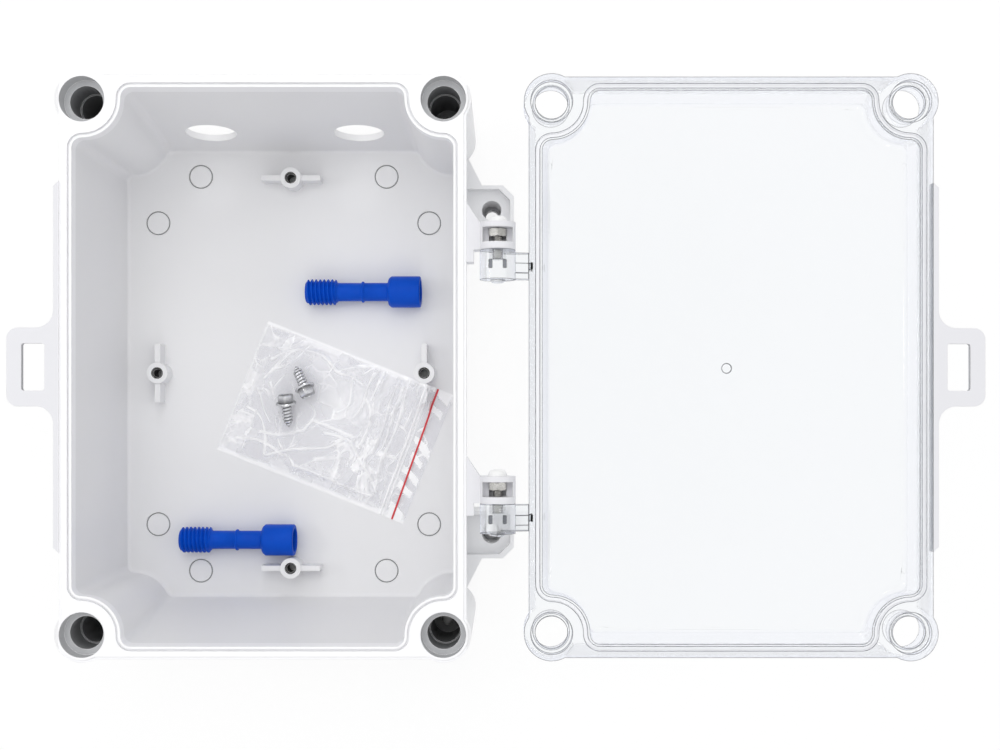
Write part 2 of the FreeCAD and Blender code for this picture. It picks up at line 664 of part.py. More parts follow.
def hinge_nut(name):
    body = new_body(name)
    half, point = "nut_width / 2", "nut_width / sqrt(3)"
    hexagon = [("0", point), (half, f"{point} / 2"), (half, f"-{point} / 2"),
               ("0", f"-{point}"), (f"-{half}", f"-{point} / 2"), (f"-{half}", f"{point} / 2")]
    outer = "(ear_thick + nut_pocket - nut_room)"
    raised_outline(body, f"{name}_hexagon", hexagon, f"-{outer}", "nut_thick", "XZ_Plane")
    sketch = new_sketch(body, f"{name}_hole_sketch", f"-{outer}", "XZ_Plane")
    draw_circles(sketch, [("0", "0")], "pin_diameter + 2 * pin_play")
    hole = body.newObject("PartDesign::Pocket", f"{name}_hole")
    hole.Profile = sketch
    hole.Type = "ThroughAll"
    hole.Reversed = True
    return body


def hinge_cap(name):
    """A domed plug cap on the outer end of the bracket."""
    body = new_body(name)
    face = "(ear_thick + nut_pocket + end_ear)"
    turned_about_axis(body, [("0", face), ("cap_diameter / 2", face),
                             ("cap_diameter / 2", f"{face} + cap_height", "cap_height - 0.2"),
                             ("0", f"{face} + cap_height")])
    return body


def leaf_key(name, play):
    """The small key that fits a slot in the lid wall."""
    return block(name, (f"2 * (key_depth + {play})", f"key_width + 2 * {play}", f"key_height + 2 * {play}"),
                 "hinge_reach", "-(side_gap + knuckle_length / 2)",
                 f"-(hinge_drop + closing_gap / 2 + leaf_drop + leaf_thick / 2 + key_height / 2 + {play})")


def hinge_leaf(name):
    """A knuckle on the pin with an arm to the side of the lid, in the open pose."""
    end_face = "(side_gap + knuckle_length)"
    knuckle = along_axis(f"{name}_knuckle", "barrel_diameter", f"-{end_face}", "knuckle_length")
    body = new_body(f"{name}_arm")
    top = "-(hinge_drop + closing_gap / 2 + leaf_drop)"
    arm = [
        ("0", "-leaf_rib_height"),
        ("hinge_reach", f"{top} - leaf_rib_height"),
        ("hinge_reach", f"{top} - leaf_thick"),
        ("0", "-barrel_diameter / 2"),
    ]
    rib = [("0", "0"), ("hinge_reach", top)] + arm[2:]
    start = "side_gap + (knuckle_length - leaf_arm) / 2"
    raised_outline(body, f"{name}_web", arm, start, "leaf_arm", "XZ_Plane")
    raised_outline(body, f"{name}_rib", rib, "side_gap + leaf_rib_place", "leaf_rib", "XZ_Plane")
    boss = new_body(f"{name}_boss")
    turned_about_axis(boss, [("0", f"-{end_face}"), ("boss_diameter / 2", f"-{end_face}"),
                             ("boss_diameter / 2", f"-({end_face} + boss_height)", "boss_height - 0.2"),
                             ("0", f"-({end_face} + boss_height)")])
    solid = joined(f"{name}_solid", [knuckle, body, boss, leaf_key(f"{name}_key", "0")])
    depth = "(side_gap + pin_reach + pin_running)"
    bore = along_axis(f"{name}_bore", "pin_diameter + 2 * pin_running", f"-{depth}", depth)
    windows = [block(f"{name}_window_{side}", ("window_width", "window_length", "barrel_diameter"),
                     f"{side} * window_apart / 2", "-(side_gap + knuckle_length / 2)", "barrel_diameter / 4")
               for side in (-1, 1)]
    return carved(name, solid, [bore] + windows)


# Lid: one clear moulding. Its own frame is that of the closed lid, z = 0 at the parting line


def lid_cover():
    outside = new_body("lid_outside")
    raised_outline(outside, "lid_skirt", oblong(HALF_X, HALF_Y, "corner_round"), "0", "lid_band")
    lower = new_sketch(outside, "lid_shoulder", "lid_band")
    draw_outline(lower, oblong(HALF_X, HALF_Y, "corner_round"))
    upper = new_sketch(outside, "lid_crown", "lid_height")
    draw_outline(upper, oblong(f"({HALF_X} - lid_side_taper)", f"({HALF_Y} - lid_end_taper)", "corner_round"))
    between(outside, "lid_dome", lower, upper)
    raised_circles(outside, "lid_lobes", POSTS, "2 * lobe_radius", "0", "lid_height")
    rounded(outside, "lid_crown_edges", "crown_round", flat_at("lid_height"))
    inside = notched_space(
        "lid_cavity",
        (LID_CAVITY_X, LID_CAVITY_Y, "0"),
        (f"({LID_CAVITY_X} - lid_side_taper)", f"({LID_CAVITY_Y} - lid_end_taper)", "lid_height - lid_top"),
        "post_radius", "post_blend")
    rounded(inside, "lid_top_edges", "lid_blend", flat_at("lid_height - lid_top"))
    bores = new_body("lid_bores")
    raised_circles(bores, "lid_recesses", POSTS, "lid_recess", "0", "lid_recess_depth")
    raised_circles(bores, "lid_holes", POSTS, "lid_hole", "0", "lid_height")
    raised_circles(bores, "head_pockets", POSTS, "head_pocket", "lid_recess_depth + head_seat",
                   "lid_height - lid_recess_depth - head_seat")
    raised_circles(bores, "gate", [("0", "0")], "gate_mark", "lid_height - lid_top", "gate_depth")
    slot = seal_ring("lid_seal_slot", LID_CAVITY_X, LID_CAVITY_Y, "seal_inset", "(seal_inset + gasket_slot)",
                     "0", "gasket_slot_depth")
    keys = []
    for side in ("hinge_upper", "hinge_lower"):
        key = leaf_key(f"{side}_key_slot", "key_play")
        put(key, f"{HALF_X} - key_depth - key_play",
            f"{side} - (side_gap + knuckle_length / 2) - key_width / 2 - key_play",
            "leaf_drop - closing_gap / 2 + leaf_thick / 2 - key_height / 2 - key_play")
        keys.append(key)
    return carved("lid_moulding", outside, [inside, bores, slot] + keys)


def lid_gasket():
    return seal_ring("seal", LID_CAVITY_X, LID_CAVITY_Y, "(seal_inset + gasket_play)",
                     "(seal_inset + gasket_slot - gasket_play)", "gasket_back", "gasket_slot_depth")


# Loose pieces in the box: two long lid screws, and a zip bag with two self-tapping screws


def spun(name, corners):
    """A turned piece about +X, from its half outline."""
    body = new_body(name)
    sketch = new_sketch(body, f"{name}_profile", "0", "XZ_Plane")
    draw_outline(sketch, corners)
    turned = body.newObject("PartDesign::Revolution", f"{name}_turned")
    turned.Profile = sketch
    turned.ReferenceAxis = (sketch, ["H_Axis"])
    return body


def lid_screw(name):
    """Thread end at x = 0, hollow cup head at the other end."""
    ridges = int(number("thread_length") / number("thread_pitch"))
    corners = [("0", "0"), ("0", "thread_diameter / 2 - thread_depth")]
    for ridge in range(ridges):
        start = f"{ridge} * thread_pitch"
        corners += [
            (f"{start} + thread_pitch * 0.35", "thread_diameter / 2"),
            (f"{start} + thread_pitch * 0.65", "thread_diameter / 2"),
            (f"{start} + thread_pitch", "thread_diameter / 2 - thread_depth"),
        ]
    corners += [
        ("thread_length", "thread_diameter / 2 - thread_depth"),
        ("thread_length", "shaft_diameter / 2"),
        ("collar_place - collar_length / 2", "shaft_diameter / 2"),
        ("collar_place - collar_length / 2", "collar_diameter / 2"),
        ("collar_place + collar_length / 2", "collar_diameter / 2"),
        ("collar_place + collar_length / 2", "shaft_diameter / 2"),
        ("screw_length - head_length - 1", "shaft_diameter / 2"),
        ("screw_length - head_length", "head_diameter / 2 - 1"),
        ("screw_length - head_length + 1", "head_diameter / 2"),
        ("screw_length", "head_diameter / 2", "0.6"),
        ("screw_length", "head_bore / 2"),
        ("screw_length - head_bore_depth", "head_bore / 2"),
        ("screw_length - head_bore_depth", "0"),
    ]
    return spun(name, corners)


def lay_screw(screw, across, along):
    """Rest a lid screw on the floor by the rims of its head and its thread."""
    drop = number("(head_diameter - thread_diameter) / 2")
    lean = math.degrees(math.asin(drop / number("screw_length - head_length")))
    turn = Rotation(Vector(0, 1, 0), -lean)
    return put(screw, across, along, "floor_thick + thread_diameter / 2 + rest_gap", turn)


def hardware_bag():
    """The zip bag as a flat slab, with the corner that folds up beside the standoff left out."""
    body = new_body("bag")
    corners = [
        ("-bag_length / 2", "-bag_width / 2", "1"),
        ("bag_length / 2", "-bag_width / 2", "1"),
        ("bag_length / 2", "bag_width / 2 - bag_notch"),
        ("bag_length / 2 - 2 * bag_notch", "bag_width / 2"),
        ("-bag_length / 2", "bag_width / 2", "1"),
    ]
    raised_outline(body, "bag_slab", corners, "0", "bag_thick")
    turn = Rotation(Vector(0, 0, 1), number("bag_angle"))
    return put(body, "bag_across", "bag_along", "floor_thick + rest_gap", turn)


def panel_screw(name):
    """A self-tapping screw with its tip at x = 0 and a hexagon head on a flange."""
    body = new_body(f"{name}_shank")
    sketch = new_sketch(body, f"{name}_profile", "0", "XZ_Plane")
    turns = int(number("(tapper_length - tapper_point) / tapper_pitch"))
    corners = [("0", "0"), ("tapper_point", "tapper_root / 2")]
    for turn in range(turns):
        start = f"tapper_point + {turn} * tapper_pitch"
        corners += [
            (f"{start} + 0.45 * tapper_pitch", "tapper_diameter / 2"),
            (f"{start} + 0.9 * tapper_pitch", "tapper_root / 2"),
        ]
    corners += [
        ("tapper_length", "tapper_root / 2"),
        ("tapper_length", "washer_diameter / 2"),
        ("tapper_length + washer_thick", "washer_diameter / 2"),
        ("tapper_length + washer_thick", "0"),
    ]
    draw_outline(sketch, corners)
    turned = body.newObject("PartDesign::Revolution", f"{name}_turned")
    turned.Profile = sketch
    turned.ReferenceAxis = (sketch, ["H_Axis"])
    half, point = "tapper_head / 2", "tapper_head / sqrt(3)"
    hexagon = [("0", point), (half, f"{point} / 2"), (half, f"-{point} / 2"),
               ("0", f"-{point}"), (f"-{half}", f"-{point} / 2"), (f"-{half}", f"{point} / 2")]
    raised_outline(body, f"{name}_hexagon", hexagon, "tapper_length + washer_thick",
                   "tapper_head_height", "YZ_Plane")
    return body


def lay_tapper(screw, across, along, heading):
    """Rest a self-tapping screw on the bag, tip and flange down."""
    drop = number("(washer_diameter - tapper_root) / 2")
    lean = math.degrees(math.asin(drop / number("tapper_length")))
    turn = Rotation(Vector(0, 0, 1), number(heading)).multiply(Rotation(Vector(0, 1, 0), -lean))
    return put(screw, across, along, "floor_thick + bag_thick + tapper_root / 2 + 2 * rest_gap", turn)


node(base_shell(), "base_shell")
node(put(latch_rail("base_rail", 1), f"-{HALF_X}", "0", "base_height"), "base_hasp_rail")

# The lid's frame turned over about the hinge axis into the open pose
flipped = Rotation(Vector(0, 1, 0), 180)
LID_X = f"2 * {AXIS_X}"
LID_Z = f"2 * {AXIS_Z} - base_height - closing_gap"
node(put(lid_cover(), LID_X, "0", LID_Z, flipped), "lid_cover")
node(put(lid_gasket(), LID_X, "0", LID_Z, flipped), "lid_gasket")
node(put(latch_rail("lid_rail", -1), f"{LID_X} + {HALF_X}", "0", LID_Z, flipped), "lid_hasp_rail")

for level in ("upper", "lower"):
    makers = [("hinge_bracket", hinge_bracket), ("hinge_pin", hinge_pin), ("hinge_nut", hinge_nut),
              ("hinge_cap", hinge_cap), ("lid_hinge_leaf", hinge_leaf)]
    for name, make in makers:
        node(put(make(f"{name}_{level}_made"), AXIS_X, f"hinge_{level}", AXIS_Z), f"{name}_{level}")

node(lay_screw(lid_screw("screw_one"), "screw_one_across", "screw_one_along"), "lid_screw_1")
node(lay_screw(lid_screw("screw_two"), "screw_two_across", "screw_two_along"), "lid_screw_2")
node(hardware_bag(), "hardware_bag")
for place, spot in enumerate(("one", "two"), start=1):
    tapper = panel_screw(f"tapper_{spot}")
    lay_tapper(tapper, f"tapper_{spot}_across", f"tapper_{spot}_along", f"tapper_{spot}_angle")
    node(tapper, f"panel_screw_{place}")

doc.recompute()

faults = []
for thing in doc.Objects:
    if "Invalid" in thing.State or "Error" in thing.State:
        faults.append(f"{thing.Label}: {thing.State}")
for piece in nodes:
    shape = piece.Shape
    if shape.isNull() or not shape.isValid() or not shape.Solids:
        faults.append(f"{piece.Label}: bad shape")
if faults:
    raise SystemExit("\n".join(faults))

os.makedirs("parts", exist_ok=True)
for piece in nodes:
    box = piece.Shape.optimalBoundingBox(False)
    print(f"{piece.Label}: {len(piece.Shape.Solids)} solid, {piece.Shape.Volume:.0f} mm3,",
          f"x {box.XMin:.1f}..{box.XMax:.1f} y {box.YMin:.1f}..{box.YMax:.1f}",
          f"z {box.ZMin:.1f}..{box.ZMax:.1f}")
    piece.Shape.exportStep(f"parts/{piece.Label}.step")
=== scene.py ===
import math

import bpy
import numpy as np
from mathutils import Matrix, Vector, noise


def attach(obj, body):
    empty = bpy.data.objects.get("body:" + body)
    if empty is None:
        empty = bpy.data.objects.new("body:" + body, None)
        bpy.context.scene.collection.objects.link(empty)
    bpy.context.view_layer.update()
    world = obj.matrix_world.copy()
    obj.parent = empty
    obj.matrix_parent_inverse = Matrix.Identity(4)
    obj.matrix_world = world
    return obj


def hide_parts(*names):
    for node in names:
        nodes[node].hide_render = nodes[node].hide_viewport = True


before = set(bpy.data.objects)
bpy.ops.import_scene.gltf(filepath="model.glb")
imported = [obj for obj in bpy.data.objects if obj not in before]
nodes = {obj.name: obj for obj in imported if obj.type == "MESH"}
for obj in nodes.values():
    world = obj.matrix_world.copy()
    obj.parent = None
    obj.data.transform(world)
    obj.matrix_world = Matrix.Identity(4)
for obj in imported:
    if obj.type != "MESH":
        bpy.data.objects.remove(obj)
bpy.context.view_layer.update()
MM = 0.001

# ---------------------------------------------------------------------------
# Base shell, latch rails and hinge brackets: light grey polycarbonate, injection moulded
# against a spark-eroded tool, so it is satin with a very fine even grain.
# The bores for the lid screws are painted greyer than the walls, and the holes of the standoffs painted
# black, as painted shade.


def paint(code):
    """An sRGB hex colour as linear RGBA."""
    parts = [int(code[i:i + 2], 16) / 255 for i in (1, 3, 5)]
    return [c / 12.92 if c <= 0.04045 else ((c + 0.055) / 1.055) ** 2.4 for c in parts] + [1.0]


def add(tree, kind, settings=None, links=None):
    """Add a shader node with its settings and the sockets that feed it."""
    node = tree.nodes.new("ShaderNode" + kind)
    for key, value in (settings or {}).items():
        if isinstance(key, int) or key in node.inputs:
            node.inputs[key].default_value = value
        else:
            setattr(node, key, value)
    for key, source in (links or {}).items():
        tree.links.new(source, node.inputs[key])
    return node


def new_material(name):
    material = bpy.data.materials.new(name)
    material.use_nodes = True
    material.node_tree.nodes.clear()
    return material, material.node_tree


def dress(material, *names):
    """Give CAD nodes a material in all their slots."""
    for name in names:
        mesh = nodes[name].data
        mesh.materials.clear()
        mesh.materials.append(material)


GRAIN = 0.35 * MM
CLOUD = 90 * MM
RIM_OUTSIDE, RIM_LOW, RIM_HIGH = 97.6 * MM, 96.5 * MM, 103.5 * MM
RAIL_END, RAIL_HALF, RAIL_LOW, RAIL_HIGH = 360 * MM, 100 * MM, 90 * MM, 112 * MM
SLOT_STARTS, SLOT_WIDE, SLOT_HALF = (103.9 * MM, 329.4 * MM), 11.5 * MM, 11.4 * MM
LID_RAIL_FACE = (322.4 * MM, 322.6 * MM)
POST = (86.5 * MM, 128.25 * MM, 0)
CUP_RADIUS, CUP_LOW, CUP_HIGH, BORE_RADIUS = 10.95 * MM, 94.4 * MM, 102.9 * MM, 8.4 * MM
STANDOFFS = [(72.2 * MM, 0, 0), (0, 105.7 * MM, 0)]
HOLE_RADIUS, HOLE_LOW, HOLE_HIGH = 3.17 * MM, 4.05 * MM, 15.9 * MM
KNOCKOUTS = [(51 * MM, 108.2 * MM, 0), (74.4 * MM, 82.7 * MM, 0)]
RING_INSIDE, RING_OUTSIDE, RING_LOW, RING_HIGH = 5.85 * MM, 6.65 * MM, 3 * MM, 3.99 * MM
# The lower limit of a mask that starts at nought, so that nought itself is inside it
BELOW_NOUGHT = -MM

# Moulded polycarbonate: a broad soft sheen, faint clouding where the melt cooled unevenly
moulded, tree = new_material("Light grey moulded polycarbonate")
place = add(tree, "TexCoord").outputs["Object"]
cloud = add(tree, "TexNoise", {"Scale": 1 / CLOUD, "Detail": 2.0}, {"Vector": place})
tone = add(tree, "ValToRGB", links={"Fac": cloud.outputs["Fac"]})
tone.color_ramp.elements[0].color = paint("#E7E7E9")
tone.color_ramp.elements[1].color = paint("#ECECED")
quarter = add(tree, "VectorMath", {"operation": "ABSOLUTE"}, {0: place})
height = add(tree, "SeparateXYZ", links={0: place}).outputs["Z"]


def reach(centre):
    """Distance from an upright axis, the same in all four quarters of the box."""
    away = add(tree, "VectorMath", {"operation": "SUBTRACT", 1: centre}, {0: quarter.outputs[0]})
    level = add(tree, "VectorMath", {"operation": "MULTIPLY", 1: (1, 1, 0)}, {0: away.outputs[0]})
    return add(tree, "VectorMath", {"operation": "LENGTH"}, {0: level.outputs[0]}).outputs["Value"]


def within(value, least, most):
    """1 where a value lies between two limits, otherwise 0."""
    middle, half = (least + most) / 2, (most - least) / 2
    return add(tree, "Math", {"operation": "COMPARE", 1: middle, 2: half}, {0: value}).outputs[0]


def shade(colour, mask, code):
    """Lay one colour over another where the mask is 1."""
    mix = add(tree, "MixRGB", {"Color2": paint(code)}, {"Color1": colour, "Fac": mask})
    return mix.outputs[0]


def both(first, second):
    return add(tree, "Math", {"operation": "MULTIPLY"}, {0: first, 1: second}).outputs[0]


# Painted light and shade: the rim is painted whiter than the walls, and the latch rails are painted greyer,
# most of all inside their slots
across = add(tree, "SeparateXYZ", links={0: quarter.outputs[0]})
outward, aside = across.outputs["X"], across.outputs["Y"]
rail = both(within(outward, RIM_OUTSIDE, RAIL_END), within(aside, BELOW_NOUGHT, RAIL_HALF))
rail = both(rail, within(height, RAIL_LOW, RAIL_HIGH))
rim = both(within(outward, BELOW_NOUGHT, RIM_OUTSIDE), within(height, RIM_LOW, RIM_HIGH))
flat = add(tree, "NewGeometry").outputs["True Normal"]
slope = add(tree, "SeparateXYZ", links={0: flat}).outputs["Z"]
upright = within(slope, -0.3, 0.3)
cut = both(rail, both(upright, within(aside, BELOW_NOUGHT, SLOT_HALF)))
colour = shade(tone.outputs[0], rim, "#F6F6F8")
colour = shade(colour, rail, "#E1E1E5")
# Painted shade: the upright walls inside the slots of the latch rails are painted dark grey
for start in SLOT_STARTS:
    colour = shade(colour, both(cut, within(outward, start, start + SLOT_WIDE)), "#A9AAAE")
# Painted light: the face of the lid rail that lies against the clear wall is painted white
colour = shade(colour, within(outward, *LID_RAIL_FACE), "#FFFFFF")
# Painted shade: the mouth of each bore for the lid screws is painted mid grey, the deep bore below it darker
# grey
post_reach = reach(POST)
cup = both(within(post_reach, BELOW_NOUGHT, CUP_RADIUS), within(height, CUP_LOW, CUP_HIGH))
colour = shade(colour, cup, "#C6C7C9")
bore = both(within(post_reach, BELOW_NOUGHT, BORE_RADIUS), within(height, BELOW_NOUGHT, CUP_LOW))
colour = shade(colour, bore, "#9A9B9D")
# Painted shade: the holes in the standoffs are painted near black
for centre in STANDOFFS:
    hole = both(within(reach(centre), BELOW_NOUGHT, HOLE_RADIUS), within(height, HOLE_LOW, HOLE_HIGH))
    colour = shade(colour, hole, "#121213")
# Painted shade: the thin grooves round the knockouts are painted dark grey
for centre in KNOCKOUTS:
    ring = both(within(reach(centre), RING_INSIDE, RING_OUTSIDE), within(height, RING_LOW, RING_HIGH))
    colour = shade(colour, ring, "#8E8F92")
grain = add(tree, "TexNoise", {"Scale": 1 / GRAIN, "Detail": 3.0, "Roughness": 0.6}, {"Vector": place})
soft_edge = add(tree, "Bevel", {"samples": 6, "Radius": 0.45 * MM})
# Painted highlight: the edges, where the bevel normal turns away from the face, are painted as a thin white
# line
turned = add(tree, "VectorMath", {"operation": "DOT_PRODUCT"}, {0: soft_edge.outputs[0], 1: flat})
painted_edge = add(tree, "MapRange", {"From Min": 0.99, "From Max": 0.85, "To Max": 0.9},
           {"Value": turned.outputs["Value"]})
colour = shade(colour, painted_edge.outputs[0], "#FFFFFF")
bump = add(tree, "Bump", {"Strength": 0.35, "Distance": 0.01 * MM},
           {"Height": grain.outputs["Fac"], "Normal": soft_edge.outputs[0]})
sheen = add(tree, "MapRange", {"To Min": 0.40, "To Max": 0.50}, {"Value": grain.outputs["Fac"]})
shader = add(tree, "BsdfPrincipled", {"IOR": 1.585},
             {"Base Color": colour, "Roughness": sheen.outputs[0], "Normal": bump.outputs[0]})
add(tree, "OutputMaterial", links={"Surface": shader.outputs[0]})

dress(moulded, "base_shell", "base_hasp_rail", "lid_hasp_rail", "hinge_bracket_upper", "hinge_bracket_lower")

# ---------------------------------------------------------------------------
# Hinge caps: white nylon plugs pressed into the outer ear of each bracket.
# Moulded smooth, a little glossier and whiter than the box.

nylon, tree = new_material("White moulded nylon")
place = add(tree, "TexCoord").outputs["Object"]
haze = add(tree, "TexNoise", {"Scale": 1 / (6 * MM), "Detail": 2.0}, {"Vector": place})
tone = add(tree, "ValToRGB", links={"Fac": haze.outputs["Fac"]})
tone.color_ramp.elements[0].color = paint("#F0F0F0")
tone.color_ramp.elements[1].color = paint("#F6F6F5")
soft_edge = add(tree, "Bevel", {"samples": 4, "Radius": 0.25 * MM})
bump = add(tree, "Bump", {"Strength": 0.2, "Distance": 0.02 * MM},
           {"Height": haze.outputs["Fac"], "Normal": soft_edge.outputs[0]})
shader = add(tree, "BsdfPrincipled", {"Roughness": 0.3, "IOR": 1.53},
             {"Base Color": tone.outputs[0], "Normal": bump.outputs[0]})
add(tree, "OutputMaterial", links={"Surface": shader.outputs[0]})

dress(nylon, "hinge_cap_upper", "hinge_cap_lower")

# ---------------------------------------------------------------------------
# Hinge pins and nuts: a stainless M5 stud, its plain end in the clear knuckle, with rolled threads
# through the bracket and a chamfered hexagon nut in the pocket against the outer ear.

AXIS = Vector((112.5, 0, 100.5)) * MM
HINGES = {"upper": 56.3 * MM, "lower": -65.3 * MM}
PIN_START, PIN_END = -4.7, 11.65
PIN_RADIUS, PIN_ROOT, PIN_PITCH = 2.5, 2.08, 0.8
NUT_WIDTH, NUT_THICK, NUT_MIDDLE = 8.0, 4.0, 8.15


def piece(name, points, faces, material, body, sharp=35):
    """A mesh object in metres that rides on a body."""
    mesh = bpy.data.meshes.new(name)
    mesh.from_pydata([tuple(p) for p in points], [], faces)
    mesh.validate()
    mesh.shade_smooth()
    mesh.set_sharp_from_angle(angle=math.radians(sharp))
    mesh.materials.append(material)
    made = bpy.data.objects.new(name, mesh)
    bpy.context.scene.collection.objects.link(made)
    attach(made, body)
    return made


def spun(rows, steps, place):
    """Points and faces of a piece turned about +X. A row is a place and a radius, in millimetres.
    The radius may be a function of the turn, from 0 to 1. The ends close on the axis."""
    points, faces = [], []
    for x, radius in rows:
        for step in range(steps):
            turn = step / steps
            r = radius(turn) if callable(radius) else radius
            spot = Vector((x, r * math.cos(math.tau * turn), r * math.sin(math.tau * turn)))
            points.append(place @ (spot * MM))
    for row in range(len(rows) - 1):
        for step in range(steps):
            here, after = row * steps + step, row * steps + (step + 1) % steps
            faces.append((here, after, after + steps, here + steps))
    faces.append(tuple(reversed(range(steps))))
    faces.append(tuple(range((len(rows) - 1) * steps, len(rows) * steps)))
    return points, faces


def thread(x, pitch, root, crest, sharpness, fade=1.0):
    """The radius of a screw thread at a place, as a function of the turn."""
    def radius(turn):
        phase = (x / pitch - turn) % 1
        away = abs(phase - 0.5) * 2
        rise = min(max((1 - away) * sharpness - (sharpness - 1) * 0.35, 0), 1)
        return root + (crest - root) * rise * fade
    return radius


def hexagon(width, turn):
    """Radius of a hexagon of a width across flats, at a turn from 0 to 1."""
    angle = math.tau * turn
    return width / 2 / math.cos((angle + math.pi / 6) % (math.pi / 3) - math.pi / 6)


# Bright stainless: clean, with fine turning lines round the axis that stretch the highlights
steel, tree = new_material("Turned stainless steel")
place = add(tree, "TexCoord").outputs["Object"]
lines = add(tree, "TexWave", {"wave_type": "BANDS", "bands_direction": "Y", "Scale": 1 / (1.2 * MM),
                              "Distortion": 1.5, "Detail": 2.0}, {"Vector": place})
wear_and_shade = add(tree, "TexNoise", {"Scale": 1 / (2.5 * MM), "Detail": 4.0}, {"Vector": place})
gloss = add(tree, "MapRange", {"To Min": 0.16, "To Max": 0.34}, {"Value": wear_and_shade.outputs["Fac"]})
tone = add(tree, "ValToRGB", links={"Fac": wear_and_shade.outputs["Fac"]})
tone.color_ramp.elements[0].color = paint("#A7A6A2")
tone.color_ramp.elements[1].color = paint("#CFCECB")
bump = add(tree, "Bump", {"Strength": 0.25, "Distance": 0.01 * MM}, {"Height": lines.outputs["Fac"]})
shader = add(tree, "BsdfPrincipled", {"Metallic": 1.0},
             {"Base Color": tone.outputs[0], "Roughness": gloss.outputs[0], "Normal": bump.outputs[0]})
add(tree, "OutputMaterial", links={"Surface": shader.outputs[0]})

for level, plane in HINGES.items():
    along = Matrix.Translation(AXIS + Vector((0, plane, 0))) @ Matrix.Rotation(math.pi / 2, 4, "Z")
    rows = [(PIN_START, 0.01), (PIN_START, PIN_RADIUS - 0.4), (PIN_START + 0.4, PIN_RADIUS),
            (2.4, PIN_RADIUS), (2.7, PIN_ROOT)]
    x = 2.8
    while x < PIN_END - 0.6:
        rows.append((x, thread(x, PIN_PITCH, PIN_ROOT, PIN_RADIUS - 0.03, 1.6)))
        x += PIN_PITCH / 10
    rows += [(PIN_END - 0.5, PIN_ROOT), (PIN_END, PIN_ROOT - 0.4), (PIN_END, 0.01)]
    points, faces = spun(rows, 40, along)
    stud = piece(f"hinge_stud_{level}", points, faces, steel, "base")
    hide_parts(f"hinge_pin_{level}")

    # The nut: hexagon flanks with a 30 degree chamfer that leaves a round face at both ends
    points, faces = [], []
    count = 48
    face_radius = NUT_WIDTH / 2 * 0.95
    rings = [(-1, "bore"), (-1, "face"), (-1, "flank"), (1, "flank"), (1, "face"), (1, "bore")]
    total = len(rings) * count
    for side, outline in rings:
        for step in range(count):
            turn = math.tau * step / count
            flank = hexagon(NUT_WIDTH, step / count)
            radius = {"bore": PIN_RADIUS + 0.02, "face": face_radius, "flank": flank}[outline]
            back = (flank - face_radius) * math.tan(math.radians(30)) if outline == "flank" else 0
            x = NUT_MIDDLE + side * (NUT_THICK / 2 - back)
            points.append(along @ (Vector((x, radius * math.cos(turn), radius * math.sin(turn))) * MM))
    for ring in range(len(rings)):
        for step in range(count):
            here, after = ring * count + step, ring * count + (step + 1) % count
            there, beyond = (here + count) % total, (after + count) % total
            faces.append((here, after, beyond, there))
    nut = piece(f"hexagon_nut_{level}", points, faces, steel, "base", sharp=20)
    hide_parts(f"hinge_nut_{level}")

# ---------------------------------------------------------------------------
# Lid and hinge leaves: clear polycarbonate from a polished mould, glass clear with a very
# faint blue. The faces are not quite flat, which bends the reflections a little.

RIPPLE = 24 * MM
KEYS = [48.9 * MM, -72.7 * MM]
KEY_HALF, KEY_ENDS = 1.7 * MM, (128.4 * MM, 129.5 * MM)
WINDOW_HALF, WINDOW_NEAR, WINDOW_FAR = 1.95 * MM, 2.55 * MM, 4.05 * MM
WINDOW_LOW, WINDOW_HIGH = 4.2 * MM, 7.9 * MM


def let_light_by(tree, seen, code):
    """Finish a clear material: the eye sees it as given, and lamps shine through it in a plain tint."""
    path = add(tree, "LightPath")
    lamps = add(tree, "Math", {"operation": "MAXIMUM"},
                {0: path.outputs["Is Shadow Ray"], 1: path.outputs["Is Diffuse Ray"]})
    passing = add(tree, "BsdfTransparent", {"Color": paint(code)})
    shader = add(tree, "MixShader", links={0: lamps.outputs[0], 1: seen.outputs[0], 2: passing.outputs[0]})
    add(tree, "OutputMaterial", links={"Surface": shader.outputs[0]})


# Clear polycarbonate: IOR 1.585, sharp highlights, and dark lines at the edges, partly from the glass bending
# the light away and partly painted shade
clear, tree = new_material("Clear moulded polycarbonate")
place = add(tree, "TexCoord").outputs["Object"]
ripple = add(tree, "TexNoise", {"Scale": 1 / RIPPLE, "Detail": 1.5}, {"Vector": place})
soft_edge = add(tree, "Bevel", {"samples": 8, "Radius": 0.65 * MM})
flat = add(tree, "NewGeometry").outputs["True Normal"]
bump = add(tree, "Bump", {"Strength": 0.5, "Distance": 0.04 * MM},
           {"Height": ripple.outputs["Fac"], "Normal": soft_edge.outputs[0]})
# A moulded edge is never quite sharp; its thin dark grey line is painted shade
turned = add(tree, "VectorMath", {"operation": "DOT_PRODUCT"}, {0: soft_edge.outputs[0], 1: flat})
painted_edge = add(tree, "MapRange", {"From Min": 0.985, "From Max": 0.93}, {"Value": turned.outputs["Value"]})
side_on = add(tree, "LayerWeight", {"Blend": 0.5})
tone = add(tree, "ValToRGB", links={"Fac": side_on.outputs["Facing"]})
tone.color_ramp.elements[0].color = paint("#FBFCFD")
tone.color_ramp.elements[1].color = paint("#E6E8F1")
tone.color_ramp.elements.new(0.7).color = paint("#F8F9FD")
tint = shade(tone.outputs[0], painted_edge.outputs[0], "#2A2D34")
